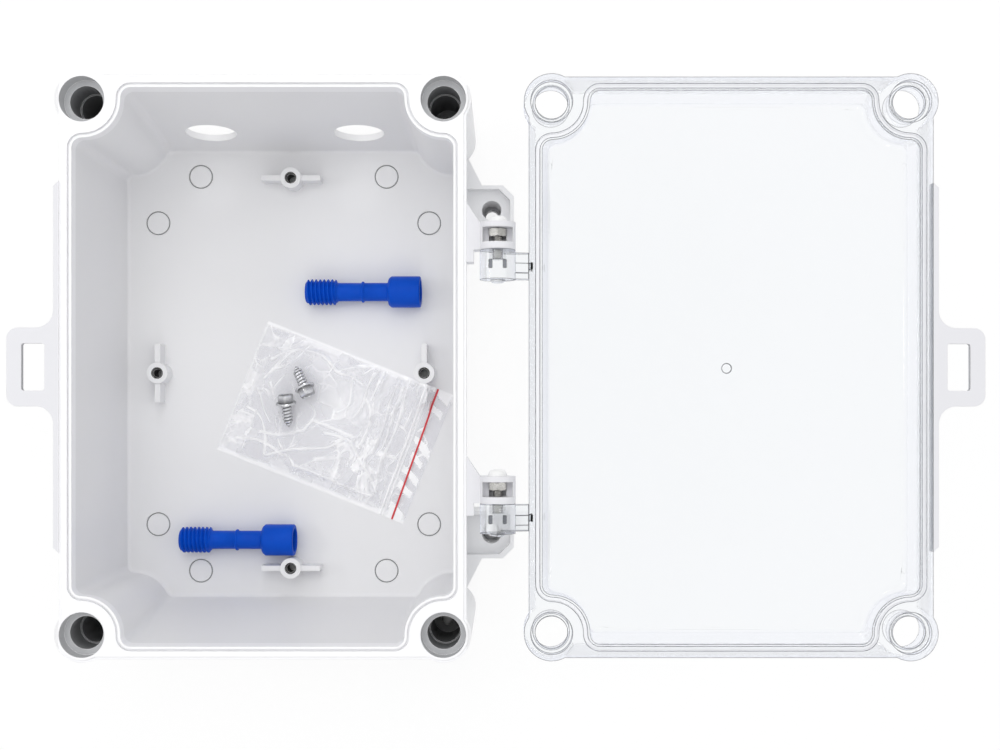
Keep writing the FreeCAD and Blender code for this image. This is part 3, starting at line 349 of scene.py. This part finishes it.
# Painted shade: the ends of the leaf keys, deep in the wall of the lid, are painted near black.
# Painted shade: the walls of the two small windows in each knuckle are painted grey.
spot = add(tree, "SeparateXYZ", links={0: place})
from_axis = add(tree, "Math", {"operation": "SUBTRACT", 1: AXIS.x}, {0: spot.outputs["X"]})
beside_axis = add(tree, "Math", {"operation": "ABSOLUTE"}, {0: from_axis.outputs[0]})
window_across = both(within(beside_axis.outputs[0], WINDOW_NEAR, WINDOW_FAR),
                     within(spot.outputs["Z"], AXIS.z + WINDOW_LOW, AXIS.z + WINDOW_HIGH))
for key in KEYS:
    key_end = both(within(spot.outputs["X"], *KEY_ENDS),
                   within(spot.outputs["Y"], key - KEY_HALF, key + KEY_HALF))
    tint = shade(tint, key_end, "#17181A")
    window = both(window_across, within(spot.outputs["Y"], key - WINDOW_HALF, key + WINDOW_HALF))
    tint = shade(tint, window, "#7B7E84")
glass = add(tree, "BsdfPrincipled", {"Roughness": 0.015, "IOR": 1.585, "Transmission Weight": 1.0},
            {"Base Color": tint, "Normal": bump.outputs[0]})
straight = add(tree, "BsdfTransparent", links={"Color": tint})
seen = add(tree, "MixShader", {0: 0.65}, {1: glass.outputs[0], 2: straight.outputs[0]})
let_light_by(tree, seen, "#F9FAFB")

dress(clear, "lid_cover", "lid_hinge_leaf_upper", "lid_hinge_leaf_lower")

# ---------------------------------------------------------------------------
# Lid seal: a cord of clear silicone rubber pressed into the groove of the lid.
# Softer and cloudier than the lid, so the groove reads as a pale line.

silicone, tree = new_material("Clear silicone rubber")
place = add(tree, "TexCoord").outputs["Object"]
cloudy = add(tree, "TexNoise", {"Scale": 1 / (1.5 * MM), "Detail": 3.0}, {"Vector": place})
dull_and_shade = add(tree, "MapRange", {"To Min": 0.25, "To Max": 0.45}, {"Value": cloudy.outputs["Fac"]})
bump = add(tree, "Bump", {"Strength": 0.3, "Distance": 0.03 * MM}, {"Height": cloudy.outputs["Fac"]})
gel = add(tree, "BsdfPrincipled", {"Base Color": paint("#FAFAFC"), "IOR": 1.41},
          {"Roughness": dull_and_shade.outputs[0], "Normal": bump.outputs[0]})
straight = add(tree, "BsdfTransparent", {"Color": paint("#FBFBFC")})
seen = add(tree, "MixShader", {0: 0.6}, {1: gel.outputs[0], 2: straight.outputs[0]})
let_light_by(tree, seen, "#F2F3F4")

dress(silicone, "lid_gasket")

# ---------------------------------------------------------------------------
# Two loose lid screws: blue nylon mouldings with a coarse rounded thread, a slim shaft with a
# stop ring, and a cup head. They lie on the floor on the rims of the head and of the thread.

THREAD_END = 17.0
THREAD_PITCH = 2.2
HEAD_START = 45.6
SCREW_LENGTH = 62.4
SCREW_LEAN = math.asin(1.5 / HEAD_START)
SCREW_PLACES = {"lid_screw_1": (7.9, 44.1, 11.2), "lid_screw_2": (-60.4, -90.5, 11.2)}

# Blue nylon: dyed through, satin, the parting line and flow leave a slight unevenness
blue, tree = new_material("Blue moulded nylon")
place = add(tree, "TexCoord").outputs["Object"]
flow = add(tree, "TexNoise", {"Scale": 1 / (5 * MM), "Detail": 3.0}, {"Vector": place})
tone = add(tree, "ValToRGB", links={"Fac": flow.outputs["Fac"]})
tone.color_ramp.elements[0].color = paint("#0045B8")
tone.color_ramp.elements[1].color = paint("#0050C8")
grain = add(tree, "TexNoise", {"Scale": 1 / (0.3 * MM), "Detail": 2.0}, {"Vector": place})
bump = add(tree, "Bump", {"Strength": 0.3, "Distance": 0.015 * MM}, {"Height": grain.outputs["Fac"]})
satin = add(tree, "MapRange", {"To Min": 0.38, "To Max": 0.5}, {"Value": flow.outputs["Fac"]})
shader = add(tree, "BsdfPrincipled", {"IOR": 1.53, "Specular IOR Level": 0.12},
             {"Base Color": tone.outputs[0], "Roughness": satin.outputs[0], "Normal": bump.outputs[0]})
add(tree, "OutputMaterial", links={"Surface": shader.outputs[0]})

for name, spot in SCREW_PLACES.items():
    lie = Matrix.Translation(Vector(spot) * MM) @ Matrix.Rotation(-SCREW_LEAN, 4, "Y")
    rows = [(0, 0.01), (0, 5.2), (0.25, 5.55)]
    x = 0.4
    while x < THREAD_END - 0.2:
        start, end = min((x - 0.2) / 1.2, 1), min((THREAD_END - x) / 0.8, 1)
        rows.append((x, thread(x, THREAD_PITCH, 5.75, 7.0, 1.45, min(start, end))))
        x += THREAD_PITCH / 14
    rows += [(THREAD_END, 5.6), (THREAD_END + 0.35, 5.15), (THREAD_END + 0.9, 4.97)]
    # The stop ring round the shaft
    rows += [(30.1, 4.95), (30.3, 5.15), (30.5, 5.55), (30.8, 5.7), (31.3, 5.7), (31.6, 5.55),
             (31.8, 5.15), (32.0, 4.95)]
    # The shoulder of the head, its rounded rim and the cup in its end
    rows += [(HEAD_START - 1.5, 4.95), (HEAD_START - 1.05, 5.1), (HEAD_START - 0.8, 5.6),
             (HEAD_START - 0.5, 7.0), (HEAD_START - 0.1, 7.6), (HEAD_START + 0.9, 8.35),
             (HEAD_START + 1.3, 8.5), (SCREW_LENGTH - 0.9, 8.5), (SCREW_LENGTH - 0.4, 8.38),
             (SCREW_LENGTH - 0.1, 8.1), (SCREW_LENGTH, 7.7), (SCREW_LENGTH, 6.7),
             (SCREW_LENGTH - 0.3, 6.35), (SCREW_LENGTH - 0.8, 6.3),
             (SCREW_LENGTH - 12.4, 6.2), (SCREW_LENGTH - 13, 5.6), (SCREW_LENGTH - 13, 0.01)]
    points, faces = spun(rows, 72, lie)
    screw = piece(f"blue_{name}", points, faces, blue, f"loose_screw_{name[-1]}", sharp=50)
    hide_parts(name)

# ---------------------------------------------------------------------------
# Two self-tapping screws: hexagon head on a flange, bright zinc plate over rolled threads.
# They lie in the bag, tip and flange down, one above the other.

TAPPER_LENGTH, FLANGE_RADIUS = 13.0, 5.5
THREAD_CORE, THREAD_CREST, TAPPER_PITCH = 2.1, 2.75, 1.8
HEX_WIDTH, HEX_CORNER = 7.95, 4.4
POINT_LENGTH = 3.6
TAPPER_LEAN = math.asin((FLANGE_RADIUS - THREAD_CORE) / TAPPER_LENGTH)
TAPPERS = {"panel_screw_1": ((1.6, 3.9, 7.8), -65), "panel_screw_2": ((-2.2, -29.2, 7.8), 94)}

# Bright zinc: mirror-like with a bluish cast and a fine crystalline mottle, with painted shade that darkens
# the thread roots and the faces seen edge-on
zinc, tree = new_material("Bright zinc plated steel")
place = add(tree, "TexCoord").outputs["Object"]
mottle = add(tree, "TexVoronoi", {"Scale": 1 / (0.5 * MM)}, {"Vector": place})
tone = add(tree, "ValToRGB", links={"Fac": mottle.outputs["Distance"]})
tone.color_ramp.elements[0].color = paint("#EDEEF0")
tone.color_ramp.elements[1].color = paint("#FFFFFF")
root_shade = add(tree, "Attribute", {"attribute_name": "depth"})
# Painted shade: faces seen edge-on are darkened towards the same dark grey as the thread roots
around = add(tree, "LayerWeight", {"Blend": 0.5})
turned = add(tree, "MapRange", {"From Min": 0.35, "From Max": 0.75, "To Max": 0.9},
             {"Value": around.outputs["Facing"]})
dull_and_shade = add(tree, "Math", {"operation": "MAXIMUM"}, {0: root_shade.outputs["Fac"], 1: turned.outputs[0]})
wear_and_shade = add(tree, "MixRGB", {"Color2": paint("#24272B")}, {"Color1": tone.outputs[0], "Fac": dull_and_shade.outputs[0]})
gloss = add(tree, "MapRange", {"To Min": 0.14, "To Max": 0.3}, {"Value": mottle.outputs["Distance"]})
bump = add(tree, "Bump", {"Strength": 0.3, "Distance": 0.01 * MM}, {"Height": mottle.outputs["Distance"]})
shader = add(tree, "BsdfPrincipled", {"Metallic": 1.0},
             {"Base Color": wear_and_shade.outputs[0], "Roughness": gloss.outputs[0], "Normal": bump.outputs[0]})
add(tree, "OutputMaterial", links={"Surface": shader.outputs[0]})


def grown(x):
    """How far the point of the screw has grown to its full thread, from 0 to 1."""
    return min(max(x, 0) / POINT_LENGTH, 1) ** 0.7


def head_slice(share):
    """The outline of the head where it has a share of its full width, with its corners turned down."""
    return lambda turn: min(hexagon(HEX_WIDTH, turn) * share, HEX_CORNER * share ** 0.5)


def tapper_places(name):
    """How a screw that is drawn from its tip along +X is turned and moved to lie in the bag."""
    spot, heading = TAPPERS[name]
    return (Matrix.Translation(Vector(spot) * MM) @ Matrix.Rotation(math.radians(heading), 4, "Z")
            @ Matrix.Rotation(-TAPPER_LEAN, 4, "Y"))


for name in TAPPERS:
    lie = tapper_places(name)
    rows = [(0, 0.01), (0.15, 0.2)]
    x = 0.3
    while x < TAPPER_LENGTH - 0.5:
        rows.append((x, thread(x, TAPPER_PITCH, THREAD_CORE * grown(x), THREAD_CREST * grown(x), 1.8)))
        x += 0.1
    rows += [(TAPPER_LENGTH - 0.4, THREAD_CORE), (TAPPER_LENGTH, THREAD_CORE + 0.4),
             (TAPPER_LENGTH, FLANGE_RADIUS - 0.3), (TAPPER_LENGTH + 0.12, FLANGE_RADIUS - 0.05),
             (TAPPER_LENGTH + 0.6, FLANGE_RADIUS - 0.02), (TAPPER_LENGTH + 1.0, FLANGE_RADIUS - 0.3),
             (TAPPER_LENGTH + 1.2, 4.5)]
    for x, share in [(1.2, 1.0), (4.5, 1.0), (4.8, 0.965), (5.1, 0.86)]:
        rows.append((TAPPER_LENGTH + x, head_slice(share)))
    rows += [(TAPPER_LENGTH + 5.25, 3.0), (TAPPER_LENGTH + 4.7, 2.5), (TAPPER_LENGTH + 4.6, 0.01)]
    points, faces = spun(rows, 60, lie)
    tapper = piece(f"zinc_{name}", points, faces, zinc, "hardware_kit", sharp=30)
    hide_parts(name)
    # Painted shade in the thread roots, under the flange and in the dish of the head
    back = lie.inverted()
    depths = []
    for vertex in tapper.data.vertices:
        spot = back @ vertex.co / MM
        out = math.hypot(spot.y, spot.z)
        in_thread = spot.x < TAPPER_LENGTH - 0.4 and out < (THREAD_CORE + 0.15) * grown(spot.x)
        in_corner = abs(spot.x - TAPPER_LENGTH - 1.2) < 0.15 and out < 4.7
        in_dish = spot.x > TAPPER_LENGTH + 4.5 and out < 2.6
        depths.append(0.85 if in_thread or in_corner else 0.6 if in_dish else 0.0)
    attribute = tapper.data.attributes.new("depth", "FLOAT", "POINT")
    attribute.data.foreach_set("value", depths)

# ---------------------------------------------------------------------------
# Zip bag: one sheet of thin clear polythene, folded at one end, welded along both sides, with a
# press zip and a red line across the open end. It is crumpled and lies over the standoff's rib.

BAG_MIDDLE, BAG_TURN = Vector((23, -26.7, 0)), math.radians(-21.8)
BAG_LONG, BAG_WIDE, FILM_STEP = 110.0, 76.0, 0.5
FLOOR = 4.0
RIB_ACROSS, RIB_ALONG, RIB_LIFT = (70.75, 73.65), (-15.8, 15.8), 11.5
ZIP_AT, ZIP_LEAN, ZIP_GAP = 40.4, 0.021, 2.0
LIP_PATCHES = 40
# Long creases as the photograph shows them: points along and across the bag, then height and width
CREASES = [
    ([(-46.2, 1.9), (-39.7, -6.1), (-33.7, -12.6)], 1.6, 0.8),
    ([(-44.7, 8.4), (-36.7, 26.4), (-29.7, 30.4)], 1.4, 0.8),
    ([(-40.7, 7.4), (-29.7, -5.6), (-25.7, -16.6)], 1.2, 0.7),
    ([(-36.2, -20.1), (-25.5, -17.6), (-14.5, -10.3)], 1.5, 0.8),
    ([(-14.5, -10.3), (-12, 0.4), (-17.7, 5.8)], 1.3, 0.8),
    ([(-45.2, 19.4), (-35.7, 28.4), (-23.2, 31.7), (-16.7, 30.6)], 1.6, 0.8),
    ([(-16.7, 30.6), (-8.7, 26), (-0.1, 26.4), (6.3, 24.9)], 1.4, 0.7),
    ([(-8.7, 26), (0.4, 33.4), (9.3, 36.9)], 1.2, 0.7),
    ([(-0.1, 26.1), (3, 14.4), (2.5, 9.3), (-1.2, 5.7)], 1.2, 0.7),
    ([(-10.5, -3.3), (3.5, -3.6), (12.3, -3.5)], 1.5, 0.9),
    ([(-3.5, -7.5), (8.7, -5.9), (14.3, -8.6), (22.3, -15.8), (30, -21.3), (35, -27.1)], 1.8, 0.8),
    ([(-28.7, -30.8), (-16.5, -22.4), (-0.4, -14.9), (6.8, -7.5)], 1.5, 0.8),
    ([(-11.3, -30.7), (5.7, -29.7), (19.2, -31), (33.3, -29.4)], 2.0, 0.9),
    ([(17.2, -7.6), (18, 3.2), (15.9, 12.7), (11.1, 17.7)], 1.8, 0.8),
    ([(10.1, 32.9), (9.4, 24), (10.2, 13.8), (8.3, 6.1)], 1.5, 0.8),
    ([(14.5, 34.8), (13.9, 25.9), (13.5, 18.7)], 1.3, 0.7),
    ([(24, 34.4), (23.7, 22.9), (25.3, 11.4), (25.3, -7.8)], 1.7, 0.8),
    ([(26.9, 34.8), (28, 19.5), (30.1, -0.6)], 1.9, 0.9),
    ([(30.3, 28.4), (32.3, 10.4), (31.3, -11.6), (33.8, -24.6)], 1.2, 0.7),
    ([(-32.7, 36.4), (-37.7, 29.4), (-43.7, 26.4)], 1.5, 0.7),
    ([(-27.7, 36.4), (-33.7, 22.4), (-42.7, 14.4)], 1.2, 0.7),
    ([(20.3, -1.6), (22.3, -11.6), (28.3, -23.6), (31.3, -30.6)], 1.6, 0.8),
    ([(-47.7, -9.6), (-39.7, -11.6), (-32.7, -21.6), (-29.7, -30.6)], 1.1, 0.7),
    ([(-46.7, -27.6), (-33.7, -24.6), (-19.7, -27.6)], 1.3, 0.7),
]


def bag_to_room(x, y):
    """Where a spot of the bag lies in the box, in millimetres."""
    turn, lean = math.cos(BAG_TURN), math.sin(BAG_TURN)
    return BAG_MIDDLE.x + x * turn - y * lean, BAG_MIDDLE.y + x * lean + y * turn


def near(value, width):
    """1 where a value is nought, falling off smoothly over a width."""
    return np.exp(-(value / width) ** 2)


def to_line(x, y, points):
    """Distance from every spot of the grid to a line of points."""
    best = np.full(x.shape, 1e9)
    for (ax, ay), (bx, by) in zip(points, points[1:]):
        length = (bx - ax) ** 2 + (by - ay) ** 2
        t = np.clip(((x - ax) * (bx - ax) + (y - ay) * (by - ay)) / length, 0, 1)
        best = np.minimum(best, np.hypot(x - ax - t * (bx - ax), y - ay - t * (by - ay)))
    return best


def smooth_line(points):
    """A polyline rounded through its points."""
    ends = [points[0]] + list(points) + [points[-1]]
    line = []
    for a, b, c, d in zip(ends, ends[1:], ends[2:], ends[3:]):
        for t in np.linspace(0, 1, 7)[:-1]:
            line.append(tuple(0.5 * (2 * q + (r - p) * t + (2 * p - 5 * q + 4 * r - s) * t ** 2
                                     + (3 * q - p - 3 * r + s) * t ** 3) for p, q, r, s in zip(a, b, c, d)))
    return line + [points[-1]]


def cloudy_grid(x, y, size, seed):
    """Smooth noise from -1 to 1, about size apart."""
    value = np.empty(x.shape)
    for spot in np.ndindex(x.shape):
        value[spot] = noise.noise(Vector((x[spot] / size, y[spot] / size, seed)))
    return value


def facets(x, y, count, stretch, seed):
    """Flat facets of crumpled film: a tone for each, and how far a spot is from the nearest fold."""
    dice = np.random.default_rng(seed)
    nearest, second, tone = np.full(x.shape, 1e9), np.full(x.shape, 1e9), np.zeros(x.shape)
    for _ in range(count):
        across_x = dice.uniform(-BAG_LONG / 2, BAG_LONG / 2)
        across_y = dice.uniform(-BAG_WIDE / 2, BAG_WIDE / 2)
        turn = math.pi / 2 + dice.normal(0, 0.25 if across_x > 8 else 1.2)
        long_way = (x - across_x) * math.cos(turn) + (y - across_y) * math.sin(turn)
        short_way = (y - across_y) * math.cos(turn) - (x - across_x) * math.sin(turn)
        away = np.hypot(long_way / stretch, short_way)
        closer = away < nearest
        second = np.where(closer, nearest, np.minimum(second, away))
        tone = np.where(closer, dice.uniform(0, 1), tone)
        nearest = np.minimum(nearest, away)
    return tone, second - nearest


along = np.arange(-BAG_LONG / 2, BAG_LONG / 2 + 0.01, FILM_STEP)
across = np.arange(-BAG_WIDE / 2, BAG_WIDE / 2 + 0.01, FILM_STEP)
bag_x, bag_y = np.meshgrid(along, across, indexing="ij")
room_x, room_y = bag_to_room(bag_x, bag_y)

# How crumpled the film is: most at the folded end, along both welds and just before the zip
from_side = BAG_WIDE / 2 - np.abs(bag_y)
from_fold = bag_x + BAG_LONG / 2
rough = 0.3 + 0.7 * near(from_fold, 14) + 0.5 * near(from_side, 8) + 0.9 * near(bag_x - 24, 13)
# Beside the heads of the screws the film stands up as a smooth pillow
pillow = near(np.hypot(bag_x + 2, bag_y - 11), 13)
rough = np.clip(rough * (1 - 0.8 * pillow), 0, 1.2)
drift = cloudy_grid(bag_x, bag_y, size=7.0, seed=3.7)
sway = cloudy_grid(bag_x, bag_y, size=8.0, seed=11.9)
wide_tone, wide_fold = facets(bag_x + 2.2 * drift, bag_y + 2.2 * sway, count=46, stretch=2.4, seed=5)
small_tone, small_fold = facets(bag_x + sway, bag_y + drift, count=240, stretch=2.6, seed=8)
patches = np.clip(0.5 + 0.9 * cloudy_grid(bag_x, bag_y, size=11.0, seed=31.3), 0, 1)

# Up over the rib of the standoff, and down again within a few millimetres
beside_rib = np.hypot(np.maximum(np.maximum(RIB_ACROSS[0] - room_x, room_x - RIB_ACROSS[1]), 0),
                      np.maximum(np.maximum(RIB_ALONG[0] - room_y, room_y - RIB_ALONG[1]), 0))
over_rib = FLOOR + RIB_LIFT * np.exp(-np.maximum(beside_rib - 0.6, 0) / 4.5)
lower = FLOOR + 0.3 + 0.25 * (1 + sway) * np.clip(from_side / 6, 0, 1)
under_screws = np.zeros(bag_x.shape)
over_screws = np.zeros(bag_x.shape)
from_screws = np.full(bag_x.shape, 1e9)
for name in TAPPERS:
    lie = tapper_places(name)
    for x, radius in [(1, 1.2), (4, 2.8), (7, 2.8), (10, 2.8), (13.4, 5.5), (16.5, 4.5)]:
        spot = lie @ (Vector((x, 0, 0)) * MM) / MM
        away = np.maximum(np.hypot(room_x - spot.x, room_y - spot.y) - radius * 0.8, 0)
        from_screws = np.minimum(from_screws, away)
        over_screws = np.maximum(over_screws, (spot.z + radius + 0.35) * np.exp(-away / 12))
        under_screws = np.maximum(under_screws, (spot.z - radius - 0.5 - FLOOR) * near(away, 7))
lower = np.maximum(np.maximum(lower, over_rib + 0.2), FLOOR + 0.3 + np.minimum(under_screws, 1.6))

loose = np.clip((from_side - 2.5) / 5, 0, 1) * np.clip(from_fold / 5, 0, 1)
flat_zip = 1 - near(bag_x - 45, 7)
fold_height = np.zeros(bag_x.shape)
white_and_glint = np.zeros(bag_x.shape)
for points, tall, wide in CREASES:
    away = to_line(bag_x + 0.5 * drift, bag_y + 0.5 * sway, smooth_line(points))
    fold_height = np.maximum(fold_height, tall * np.maximum(1 - away / (2.6 * wide), 0))
    white_and_glint = np.maximum(white_and_glint, (0.6 + 0.4 * patches) * near(away, (0.6 + 1.1 * patches) * wide))
    white_and_glint = np.maximum(white_and_glint, 0.34 * patches * near(away, 2.8 * wide))
ridges = 2.4 * np.maximum(1 - wide_fold / 5.0, 0) + 0.35 * np.maximum(1 - small_fold / 2.2, 0)
upper = lower + 0.2 + loose * (0.3 + (0.2 + ridges * rough + fold_height) * flat_zip)
upper = np.maximum(upper, np.minimum(over_screws, 17.6) * np.clip(from_side / 3, 0, 1))
# The zip: two ribs that press together, straight across the bag
zip_line = ZIP_AT - ZIP_LEAN * bag_y
zip_rib = np.maximum(near(bag_x - zip_line, 0.75), 0.8 * near(bag_x - zip_line - ZIP_GAP, 0.6))
upper = upper + 0.9 * zip_rib
# Where the film is painted white: on folds, welds and the zip, and as a haze that differs from facet to
# facet.
# This is partly the film's own whitening, and partly painted highlight in place of the glints on its folds
# and facets.
clear_spot = 1 - 0.85 * near(from_screws, 6)
haze = 0.05 + 0.36 * wide_tone ** 2
haze = haze + 0.75 * np.clip((small_tone - 0.8) * 12, 0, 1) * np.clip(rough * 1.3 - 0.35, 0, 1)
white_and_glint = np.maximum(white_and_glint, 0.95 * near(wide_fold, 0.3 + 0.7 * patches) * np.clip(patches * 1.6 - 0.25, 0, 1))
white_and_glint = np.maximum(white_and_glint, 0.8 * near(small_fold, 0.4) * np.clip(rough * patches * 1.6 - 0.5, 0, 1))
white_and_glint = np.maximum(white_and_glint, haze + 0.35 * pillow) * clear_spot * (1 - 0.8 * near(bag_x - 41.3, 2.6))
white_and_glint = np.maximum(white_and_glint, 0.95 * zip_rib)
weld = np.where(bag_y < 0, 1.9, 1.0) + 1.2 * patches
white_and_glint = np.maximum(white_and_glint, 0.95 * near(from_side - 0.5, weld))
scrap = np.clip((small_tone - 0.52) * 6, 0, 1)
white_and_glint = np.maximum(white_and_glint, 0.75 * scrap * np.maximum(near(from_side - 2, 3.0), near(from_fold - 3, 5)))
white_and_glint = np.maximum(white_and_glint, 0.7 * near(from_fold, 0.6 + 1.2 * patches))
# Beyond the zip the two lips of the bag cling together in white patches
lips = np.random.default_rng(12).uniform(0, 1, LIP_PATCHES)
patch = np.floor((bag_y + 0.5 * (bag_x - 47) + 1.5 * sway) / 4.2).astype(int) % LIP_PATCHES
short = 1 - lips[patch]
tatters = np.clip((bag_x - 42.8 - 5 * short) / 0.6, 0, 1) * np.clip((54.8 - 4 * short - bag_x) / 0.6, 0, 1)
white_and_glint = np.maximum(white_and_glint, 0.95 * tatters * (short < 0.6))

rows, columns = bag_x.shape


def sealed(i, j):
    """True on the fold and on both welds, where the two layers of film are one."""
    return i == 0 or j in (0, columns - 1)


points, faces, whiteness = [], [], []
for layer, level in ((0, upper), (1, lower)):
    for i in range(rows):
        for j in range(columns):
            z = lower[i, j] + 0.1 if sealed(i, j) else level[i, j]
            points.append((room_x[i, j] * MM, room_y[i, j] * MM, z * MM))
            whiteness.append(float(white_and_glint[i, j]) if layer == 0 else 0.05)
sheet_size = rows * columns


def film_index(layer, i, j):
    """The number of a point of the film, the same in both layers where they are sealed."""
    return i * columns + j + (0 if sealed(i, j) else layer * sheet_size)


# The upper layer faces up and the lower layer faces down
windings = [(0, [(0, 0), (1, 0), (1, 1), (0, 1)]), (1, [(0, 0), (0, 1), (1, 1), (1, 0)])]
for i in range(rows - 1):
    for j in range(columns - 1):
        for layer, corners in windings:
            faces.append(tuple(film_index(layer, i + a, j + b) for a, b in corners))

# Polythene film: clear, glinting on every facet, and white where it is creased or welded, partly by its own
# whitening and partly by painted highlight
film, tree = new_material("Crumpled clear polythene film")
white = add(tree, "Attribute", {"attribute_name": "white_and_glint"})
edge_on = add(tree, "LayerWeight", {"Blend": 0.35})
veil = add(tree, "Math", {"operation": "MULTIPLY_ADD", 1: 0.3, 2: 0.04}, {0: edge_on.outputs["Facing"]})
cover = add(tree, "Math", {"operation": "ADD", "use_clamp": True},
            {0: white.outputs["Fac"], 1: veil.outputs[0]})
skin = add(tree, "BsdfPrincipled", {"Base Color": paint("#FDFDFE"), "Roughness": 0.25, "IOR": 1.51,
                                    "Specular IOR Level": 1.0})
see_through = add(tree, "BsdfTransparent", {"Color": paint("#FCFCFD")})
seen = add(tree, "MixShader", links={0: cover.outputs[0], 1: see_through.outputs[0], 2: skin.outputs[0]})
let_light_by(tree, seen, "#FAFAFB")

used = sorted({index for face in faces for index in face})
renumber = {old: new for new, old in enumerate(used)}
bag = piece("zip_bag", [points[k] for k in used], [tuple(renumber[k] for k in face) for face in faces],
            film, "hardware_kit", sharp=60)
attribute = bag.data.attributes.new("white_and_glint", "FLOAT", "POINT")
attribute.data.foreach_set("value", [whiteness[k] for k in used])
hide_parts("hardware_bag")

# The red line, printed just outside the zip
ink, tree = new_material("Red printed line on film")
place = add(tree, "TexCoord").outputs["Object"]
streak = add(tree, "TexNoise", {"Scale": 1 / (0.8 * MM), "Detail": 2.0}, {"Vector": place})
tone = add(tree, "ValToRGB", links={"Fac": streak.outputs["Fac"]})
tone.color_ramp.elements[0].color = paint("#C41E2A")
tone.color_ramp.elements[1].color = paint("#DA3540")
shader = add(tree, "BsdfPrincipled", {"Roughness": 0.35, "IOR": 1.5}, {"Base Color": tone.outputs[0]})
add(tree, "OutputMaterial", links={"Surface": shader.outputs[0]})

LINE_FROM, LINE_TO, LINE_WIDTH = (45.8, 37.9), (48.4, -37.9), 1.0
points, faces = [], []
steps = 140
for step in range(steps + 1):
    share = step / steps
    middle = LINE_FROM[0] + share * (LINE_TO[0] - LINE_FROM[0])
    y = LINE_FROM[1] + share * (LINE_TO[1] - LINE_FROM[1])
    for side in (-0.5, 0, 0.5):
        x = middle + side * LINE_WIDTH
        i = min(max(round((x + BAG_LONG / 2) / FILM_STEP), 1), rows - 2)
        j = min(max(round((y + BAG_WIDE / 2) / FILM_STEP), 1), columns - 2)
        a, b = bag_to_room(x, y)
        points.append((a * MM, b * MM, (upper[i - 1:i + 2, j - 1:j + 2].max() + 0.12) * MM))
for step in range(steps):
    for side in (0, 1):
        k = step * 3 + side
        faces.append((k, k + 1, k + 4, k + 3))
red_line = piece("bag_red_line", points, faces, ink, "hardware_kit")

# ---------------------------------------------------------------------------
# Room: a white table under a broad soft light, with the camera straight above as in the
# photograph. The table looks white to the camera and in reflections, and is matt to the lamps.

TABLE_HALF, TABLE_LEVEL = 6.0, -0.2 * MM
floor_mesh = bpy.data.meshes.new("table_top")
floor_mesh.from_pydata([(-TABLE_HALF, -TABLE_HALF, TABLE_LEVEL), (TABLE_HALF, -TABLE_HALF, TABLE_LEVEL),
                        (TABLE_HALF, TABLE_HALF, TABLE_LEVEL), (-TABLE_HALF, TABLE_HALF, TABLE_LEVEL)],
                       [], [(0, 1, 2, 3)])
table_top = bpy.data.objects.new("table_top", floor_mesh)
bpy.context.scene.collection.objects.link(table_top)
board, tree = new_material("White matt table")
matt = add(tree, "BsdfDiffuse", {"Color": paint("#FDFDFD")})
glow = add(tree, "Emission", {"Color": (1, 1, 1, 1), "Strength": 1.0})
path = add(tree, "LightPath")
seen = add(tree, "Math", {"operation": "MAXIMUM"},
           {0: path.outputs["Is Camera Ray"], 1: path.outputs["Is Glossy Ray"]})
seen = add(tree, "Math", {"operation": "MAXIMUM"},
           {0: seen.outputs[0], 1: path.outputs["Is Transmission Ray"]})
share = add(tree, "Math", {"operation": "MULTIPLY", 1: 0.86}, {0: seen.outputs[0]})
shader = add(tree, "MixShader", links={0: share.outputs[0], 1: matt.outputs[0], 2: glow.outputs[0]})
add(tree, "OutputMaterial", links={"Surface": shader.outputs[0]})
floor_mesh.materials.append(board)

world = bpy.data.worlds.new("White studio")
bpy.context.scene.world = world
world.use_nodes = True
tree = world.node_tree
tree.nodes.clear()
path = add(tree, "LightPath")
way = add(tree, "TexCoord").outputs["Generated"]
up = add(tree, "SeparateXYZ", links={0: way})
level = add(tree, "Math", {"operation": "ABSOLUTE"}, {0: up.outputs["Z"]})
room_tone = add(tree, "ValToRGB", links={"Fac": level.outputs[0]})
room_tone.color_ramp.elements[0].position = 0.05
room_tone.color_ramp.elements[0].color = (0.59, 0.59, 0.59, 1)
room_tone.color_ramp.elements[1].position = 0.55
room_tone.color_ramp.elements[1].color = (0.83, 0.83, 0.83, 1)
around = add(tree, "Background", {"Strength": 1.0}, {"Color": room_tone.outputs[0]})
backdrop = add(tree, "Background", {"Color": (1, 1, 1, 1), "Strength": 1.0})
shown = add(tree, "MixShader",
            links={0: path.outputs["Is Camera Ray"], 1: around.outputs[0], 2: backdrop.outputs[0]})
add(tree, "OutputWorld", links={"Surface": shown.outputs[0]})

# Lamps: a name, a place, a width in metres and a power in watts
AIM = Vector((0.1, 0, 0))
LIGHTS = [("overhead", (-0.1, 0.5, 1.5), 1.1, 4.6), ("left", (-1.0, 0.1, 1.0), 0.22, 1.4),
          ("right", (1.25, -0.3, 1.0), 0.22, 0.9), ("front", (0.1, -1.1, 1.1), 0.22, 0.9),
          ("back", (0.1, 1.15, 1.1), 0.3, 1.4)]
for name, spot, size, power in LIGHTS:
    lamp = bpy.data.lights.new(name, "AREA")
    lamp.shape, lamp.size, lamp.energy = "DISK", size, power
    holder = bpy.data.objects.new(name, lamp)
    holder.location = spot
    holder.visible_transmission = False
    holder.visible_glossy = name != "overhead"
    holder.rotation_mode = "QUATERNION"
    holder.rotation_quaternion = (AIM - Vector(spot)).to_track_quat("-Z", "Y")
    bpy.context.scene.collection.objects.link(holder)

camera = bpy.data.objects.new("camera", bpy.data.cameras.new("camera"))
camera.location = (0.116, -0.0254, 0.767)
camera.data.lens, camera.data.sensor_width = 50, 36
camera.data.shift_x, camera.data.shift_y = -0.005, 0.045
camera.data.clip_start = 0.01
bpy.context.scene.collection.objects.link(camera)
bpy.context.scene.camera = camera
bpy.context.scene.view_settings.view_transform = "Standard"
